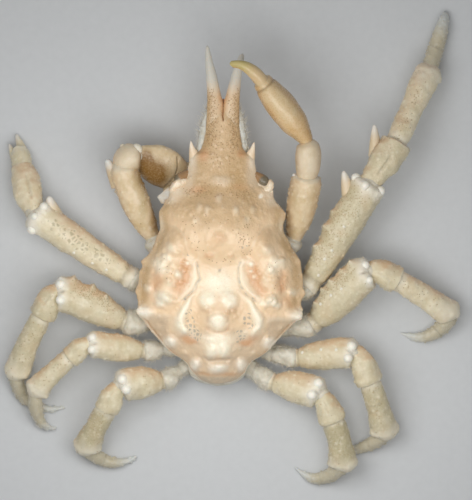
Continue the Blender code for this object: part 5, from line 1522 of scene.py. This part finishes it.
@dataclass(frozen=True)
class ClawArm:
    """One claw arm: hip, thigh, knee, and a palm with a fixed finger, closed by a moving finger."""

    name: str
    joints: tuple[Point, ...]
    moving_finger: tuple[Point, Point, Point]
    fixed_finger: tuple[Point, Point, Point]
    half_widths: tuple[float, ...]
    half_depths: tuple[float, ...]
    palm_faces: Point
    palm_finish: Cuticle
    palm_grains: float
    honey: Table = ()
    olive: Table = ()
    cracks: tuple[Table, ...] = ()
    knobs: Table = ()
    knee_knobs: Table = ()
    spines: tuple[tuple[Point, Point, float], ...] = ()
    seed: int = 1

    def dress(self, skin: Skin, bone: tuple[float, float]) -> None:
        """Marks the flanks, the bare ends and the places where the shell is thin and honey brown, with painted
        shade in the left palm's honey patch.
        """
        normals, along = skin.normals(), skin.along[:, None]
        x, y = skin.points[..., 0], skin.points[..., 1]
        skin.mark("front", smooth(0.35, 1.0, np.abs(normals[..., 0])) * 0.7)
        skin.mark("bone", smooth(bone[0], bone[0] - 0.1, along) + smooth(bone[1], bone[1] + 0.1, along))
        skin.mark("bone", 0.5 * smooth(0.0, -0.8, normals[..., 2]))
        cloudy = 0.85 + 0.3 * rolling(skin.points, 0.8, self.seed)
        skin.mark("honey", BackPlate.patches(x, y, self.honey, 1.5) * cloudy)
        skin.mark("olive", BackPlate.patches(x, y, self.olive, 1.0))
        skin.mark("pepper", 0.04)
        cracks = np.zeros_like(x)
        for line in self.cracks:
            cracks += bell(line_distance(x, y, line), 0.07)
        skin.mark("dark", cracks * smooth(0.0, 0.5, normals[..., 2]))
        skin.push(-0.08 * cracks)

    def finger(self, points: tuple[Point, Point, Point], width: float, lead: float) -> Skin:
        """A tapering curved finger that starts lead before its root."""
        root, bow, tip = (np.array(p, float) for p in points)
        t = np.linspace(0, 1, 90)
        path = bend(root - unit(bow - root) * lead, bow, tip, 90)
        widths = through(FINGER_SHAPE, t) * width
        skin = tube(path, np.stack([widths, widths], 1) * round_ends(t, 0.05, 0.07)[:, None], 48, along=t)
        skin.mark("tip", smooth(0.25, 0.7, t)[:, None])
        return skin

    def build(self, coat: Coat) -> None:
        """Makes the arm's plates from hip to fingertips."""
        hip, thigh, knee, palm = joints_to_plates(self.joints)
        widths, depths = self.half_widths, self.half_depths
        skin = Plate(*hip, widths[0], depths[0], HIP_SHAPE, tuck=0.6, lip=0.25, far_round=0.5).skin()
        skin.roughen(self.seed, 0.1, 0.03)
        cover(f"{self.name}_hip", skin.form(), BONE_SHELL)
        skin = Plate(*thigh, widths[1], depths[1], THIGH_SHAPE, tuck=0.3, far_round=0.5).skin()
        skin.roughen(self.seed + 10, 0.08, 0.03, 0.4, 0.08, 0.05)
        self.dress(skin, (0.08, 0.92))
        extra = [set_spike(*spine) for spine in self.spines] + [bead(skin, *knob) for knob in self.knobs]
        cover(f"{self.name}_thigh", skin.form().joined(*extra), ARM_SHELL)
        coat.grow(skin, 300, 0.22, skin.flank**6, self.seed + 15)
        skin = Plate(*knee, widths[2], depths[2], BALL_SHAPE, tuck=0.35, lip=0.2, far_round=0.7).skin()
        skin.roughen(self.seed + 20, 0.04, 0.012)
        self.dress(skin, (0.0, 0.97))
        skin.mark("bone", 0.4 * smooth(0.0, 0.7, skin.normals()[..., 2]))
        extra = [bead(skin, *knob, 0.6) for knob in self.knee_knobs]
        cover(f"{self.name}_knee", skin.form().joined(*extra), ARM_SHELL)
        faces = self.palm_faces
        skin = Plate(*palm, widths[3], depths[3], PALM_SHAPE, faces, tuck=0.2, lip=0.1, far_round=0.5).skin()
        skin.roughen(self.seed + 30, 0.03, self.palm_grains, 0.45)
        ring = bell(skin.along[:, None] - 0.9, 0.015)
        skin.push(-0.06 * ring + 0.02 * smooth(0.92, 0.96, skin.along)[:, None])
        self.dress(skin, (0.04, 1.2))
        skin.mark("dark", 0.75 * ring)
        # Paler on the upper face: a painted highlight.
        skin.mark("light", smooth(0.4, 0.95, skin.normals()[..., 2]) * smooth(0.2, 0.5, skin.along)[:, None])
        fixed = self.finger(self.fixed_finger, 0.6, 1.3)
        fixed.mark("honey", smooth(0.3, 0.8, fixed.along)[:, None])
        cover(f"{self.name}_palm", skin.form().joined(fixed.form()), self.palm_finish)
        cover(f"{self.name}_finger", self.finger(self.moving_finger, 0.68, 0.9).form(), HORN, "horn")
        roots = ((thigh, 1.0), (knee, widths[1] * 0.85), (palm, 0.8))
        balls = [dome(tuple(part[0]), (radius * 0.8,) * 3) for part, radius in roots]
        piece(f"{self.name}_joint_skin", balls[0].joined(*balls[1:]), JOINT_SKIN)


CLAW_ARMS = (
    ClawArm(
        "claw_left",
        ((-4.6, 3.3, 2), (-6.7, 5, 2.8), (-9.8, 12.2, 4.9), (-8.4, 13.3, 4.5), (-3.9, 10.9, 2.1)),
        ((-4, 11.9, 2.4), (-2.5, 12.7, 1.7), (-1.3, 11.8, 1.3)),
        ((-4.6, 9.9, 1.8), (-3, 9.9, 0.8), (-1.9, 11, 0.9)),
        (1, 1.4, 1.45, 2.2), (1, 1.3, 1.45, 1.15), (-0.22, -0.38, 1), ARM_SHELL, 0.04,
        # Honey patches: thin honey-brown shell, with painted shade where the palm lies low under the thigh.
        honey=((-6.85, 11.4, 1.6, 1.6, 1.6), (-7.5, 13, 0.6, 1, 1.2), (-6.45, 6.8, 0.6, 1.5, 0.8)),
        olive=((-7.75, 8.4, 0.5, 1.6, 0.8), (-8.4, 10.6, 0.4, 0.8, 0.4)),
        cracks=(((-4.5, 13.2), (-4.45, 12.2), (-4.7, 11.3), (-5.8, 10.1)),),
        knee_knobs=((-8, 14.55, 0.6), (-10.2, 14.6, 0.3)),
        spines=(((-10.55, 11.1, 4.5), (-11.56, 12.79, 4.9), 0.95),), seed=901,
    ),
    ClawArm(
        "claw_right",
        ((4.6, 3.3, 2), (7.3, 5.3, 2.8), (8.5, 11.7, 5.4), (8.4, 15.05, 6.4), (3.62, 21.1, 7.9)),
        ((3.65, 21.1, 8.7), (2.4, 22.9, 9.9), (0.58, 22.5, 9)),
        ((3.7, 20.9, 7.3), (2.6, 22.7, 7.1), (0.75, 22.4, 8.2)),
        (1, 1.5, 1.3, 1.5), (1, 1.5, 1.45, 2), (0, 0, 1), PALM_SHELL, 0.008,
        honey=((6.9, 6.3, 0.5, 1.5, 0.5),),
        olive=((7.4, 9, 0.4, 1.5, 0.5),),
        spines=(((7.5, 11.1, 5.2), (7.15, 11.8, 5.4), 0.6),), seed=951,
    ),
)


@dataclass(frozen=True)
class Head:
    """Eyes on their stalks, feelers beside the horns, and the pair of mouth plates below."""

    eye: Point = (4.28, 10.95, 5.9)
    stalk_root: Point = (3.25, 11.65, 5.7)
    feeler: tuple[Point, Point, Point] = ((2.2, 13.35, 5.45), (1.95, 16.2, 5.6), (1.3, 18.4, 5.7))
    feeler_radii: Table = (
        (0, 0.5, 0.32), (0.25, 0.4, 0.3), (0.6, 0.4, 0.24), (0.85, 0.3, 0.18), (1, 0.1, 0.1),
    )
    mouth: tuple[Point, Point, Point] = ((1.05, 6.75, 1.85), (1.05, 8.6, 0.7), (0.95, 10.4, 1.6))

    def build(self, coat: Coat) -> None:
        """Makes both sides, with a brush of bristles along each feeler's outer edge."""
        for side in Side:
            centre, root = side.place(self.eye), side.place(self.stalk_root)
            t = np.linspace(0, 1, 44)
            radii = through(((0, 0.36), (0.3, 0.48), (0.62, 0.57), (0.84, 0.47), (0.96, 0.25), (1, 0.06)), t)
            run = centre + unit(centre - root) * 0.45 - root
            skin = tube(root + t[:, None] * run, np.stack([radii, radii], 1), 40)
            skin.mark("cornea", smooth(0.5, 0.7, t[:, None] + 0.12 * np.sin(skin.turn) * side.value))
            cover(f"eye_{side.label}", skin.form(), CORNEA, "ball")
            path = bend(*(side.place(p) for p in self.feeler), 70)
            t = np.linspace(0, 1, 70)
            halves = through(self.feeler_radii, t) * (1 + 0.03 * np.sin(t * 50))[:, None]
            skin = tube(path, halves, 32, along=t)
            skin.roughen(77, 0.1, 0.08, 0.3, 0.14)
            skin.mark("tip", 0.7 + 0.4 * rolling(skin.points, 0.4, 3))
            cover(f"feeler_{side.label}", skin.form(), CLAW_HORN)
            outer = smooth(0.3, 0.9, np.cos(skin.turn) * side.value) * smooth(0.0, 0.15, t)[:, None]
            coat.grow(skin, 200, 0.7, outer, 71, 0.5)
            path = bend(*(side.place(p) for p in self.mouth), 60)
            t = np.linspace(0, 1, 60)
            widths = through(((0.0, 0.5), (0.1, 0.72), (0.5, 0.85), (0.9, 0.65), (1.0, 0.35)), t)
            skin = tube(path, np.stack([widths, np.minimum(widths, 0.42)], 1), 36, along=t)
            skin.roughen(88, 0.03, 0.02)
            skin.mark("dark", bell(t - 0.55, 0.02)[:, None])
            cover(f"mouth_plate_{side.label}", skin.form(), BONE_SHELL)


@dataclass(frozen=True)
class Underside:
    """The breastplate that carries the legs, and the tail flap folded under it."""

    half_width: Table = (
        (-8.3, 1), (-7.2, 2.5), (-5.5, 4.1), (-3, 5.5), (0, 6), (2.5, 5.6), (4.5, 4.6), (6.2, 2.8),
    )
    section: Table = (
        (0, 0, 0), (0.3, 0.72, 0), (0.42, 0.93, 0.28), (0.5, 1, 0.6), (0.62, 0.97, 0.95), (0.75, 0.5, 1),
        (1, 0, 1),
    )
    top: float = 3.4
    tail: Table = (
        (0, -8.3, 3.7), (0, -8.95, 3.35), (0, -9.25, 2.4), (0, -9.1, 1.3), (0, -8.2, 0.5), (0, -6.8, 0.3),
        (0, -3, 0.3), (0, 1.4, 0.3),
    )
    tail_width: Table = ((0, 2.9), (0.15, 2.75), (0.4, 1.9), (0.7, 1.35), (0.93, 0.9), (1, 0.4))
    tail_rings: tuple[float, ...] = (0.14, 0.28, 0.42, 0.57, 0.72, 0.86)

    def build(self) -> None:
        """Makes both plates."""
        y = np.linspace(self.half_width[0][0], self.half_width[-1][0], 150)
        share = np.linspace(0, 1, 44)
        right = through(self.section, share)
        ring = np.concatenate([right, right[-2:0:-1] * (-1, 1)])
        half = through(self.half_width, y)[:, None]
        points = np.stack(np.broadcast_arrays(half * ring[:, 0], y[:, None], self.top * ring[:, 1]), -1)
        skin = Skin(points, np.linspace(0, 1, 150), np.linspace(0, 2 * np.pi, ring.shape[0]))
        seams = sum(bell(y - at, 0.1) for at in (-6.3, -4.4, -2.2, 0.3, 2.8))[:, None]
        flank = smooth(0.25, 0.45, np.abs(ring[:, 0]))
        skin.mark("dark", 0.7 * seams * flank)
        skin.push(-0.12 * seams * flank + 0.05 * rolling(points, 1.2, 6))
        cover("breastplate", skin.form(), BONE_SHELL)
        t = np.linspace(0, 1, 160)
        path = through(tuple((i / (len(self.tail) - 1), *p) for i, p in enumerate(self.tail)), t)
        widths = through(self.tail_width, t)
        skin = tube(path, np.stack([widths, np.full(160, 0.34)], 1), 60, across=(1, 0, 0), along=t)
        rings = sum(bell(t - at, 0.008) for at in self.tail_rings)[:, None]
        skin.points[..., 1] += 0.07 * skin.points[..., 0] ** 2
        skin.mark("dark", 0.7 * rings)
        skin.push(-0.07 * rings + 0.03 * rolling(skin.points, 0.8, 2))
        cover("tail_flap", skin.form(), BONE_SHELL)


@dataclass(frozen=True)
class Studio:
    """A plain pale floor, soft light, and a camera that looks straight down, as the photograph does."""

    aim: Point = (1.6, 4.04, 4.0)
    height: float = 50.0
    lens: float = 600.0
    tilt: float = 0.0228
    floor_half: float = 1.5
    floor_colour: str = "d2d4d5"

    def build(self) -> None:
        """Makes the floor, the lights and the camera."""
        self.floor()
        self.lights()
        self.camera()

    def floor(self) -> None:
        """A wide flat sheet at the level that the animal rests on."""
        mesh = bpy.data.meshes.new("studio_floor")
        sheet = np.array([(-1, -1, 0), (1, -1, 0), (1, 1, 0), (-1, 1, 0)]) * self.floor_half
        mesh.from_pydata(sheet.tolist(), [], [(0, 1, 2, 3)])
        made = bpy.data.objects.new("studio_floor", mesh)
        bpy.context.scene.collection.objects.link(made)
        # Painted board: matt, with a fine tooth of two greys that keeps it from looking like a screen.
        look, tree, shader, place = blank("pale_board")
        tooth = add(tree, "TexNoise", None, {"Vector": place, "Scale": scale_of(0.8), "Detail": 3.0})
        tone = add(tree, "Mix", RGBA, {0: tooth, 6: linear(self.floor_colour), 7: linear("cbcdce")})
        wire(tree, shader, {"Base Color": tone.outputs[2], "Roughness": 0.8})
        mesh.materials.append(look)
        made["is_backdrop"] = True

    def lights(self) -> None:
        """One broad soft light from the upper left, a weaker one from the right, and an even sky."""
        scene = bpy.context.scene
        for name, spot, size, power in (
            ("key", (-0.016, 0.0, 0.052), 0.035, 0.0113), ("fill", (0.016, -0.012, 0.052), 0.035, 0.0091),
            ("far", (-0.2, 0.2, 0.4), 0.3, 0.2),
        ):
            lamp = bpy.data.lights.new(name, "AREA")
            lamp.size, lamp.energy = size, power
            made = bpy.data.objects.new(name, lamp)
            made.location = spot
            way = Vector(spot) - Vector((0, 0.004, 0.004))
            made.rotation_euler = way.to_track_quat("Z", "Y").to_euler()
            made.visible_camera = False
            scene.collection.objects.link(made)
        world = bpy.data.worlds.new("soft_sky")
        world.use_nodes = True
        world.node_tree.nodes["Background"].inputs[0].default_value = (1.0, 1.0, 1.0, 1.0)
        world.node_tree.nodes["Background"].inputs[1].default_value = 0.3
        scene.world = world
        scene.view_settings.view_transform = "Standard"

    def camera(self) -> None:
        """The picture's upright side takes in height millimetres at the aim's level."""
        lens = bpy.data.cameras.new("overhead")
        lens.lens, lens.sensor_width = self.lens, SENSOR
        made = bpy.data.objects.new("overhead", lens)
        distance = self.height * (max(PICTURE) / PICTURE[1]) / SENSOR * self.lens * MM
        made.location = (self.aim[0] * MM, self.aim[1] * MM, self.aim[2] * MM + distance)
        made.rotation_euler = (0.0, 0.0, self.tilt)
        lens.clip_end = 20.0
        bpy.context.scene.collection.objects.link(made)
        bpy.context.scene.camera = made


def corners() -> list[list[float]]:
    """The whole object's lowest and highest corners as plain numbers."""
    return [[float(v) for v in corner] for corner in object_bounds()]


def main() -> None:
    """Builds the studio and every sub-assembly in order."""
    logging.basicConfig(level=logging.INFO, format="%(message)s")
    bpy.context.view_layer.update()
    Studio().build()
    coats = {side: Coat(f"down_{side.label}") for side in Side}
    BackPlate().build(coats[Side.LEFT])
    Underside().build()
    Head().build(coats[Side.RIGHT])
    for part in (*WALKING_LEGS, *CLAW_ARMS):
        part.build(coats[Side.LEFT if part.name.endswith("left") else Side.RIGHT])
    for coat in coats.values():
        coat.build()


if __name__ == "__main__":
    main()
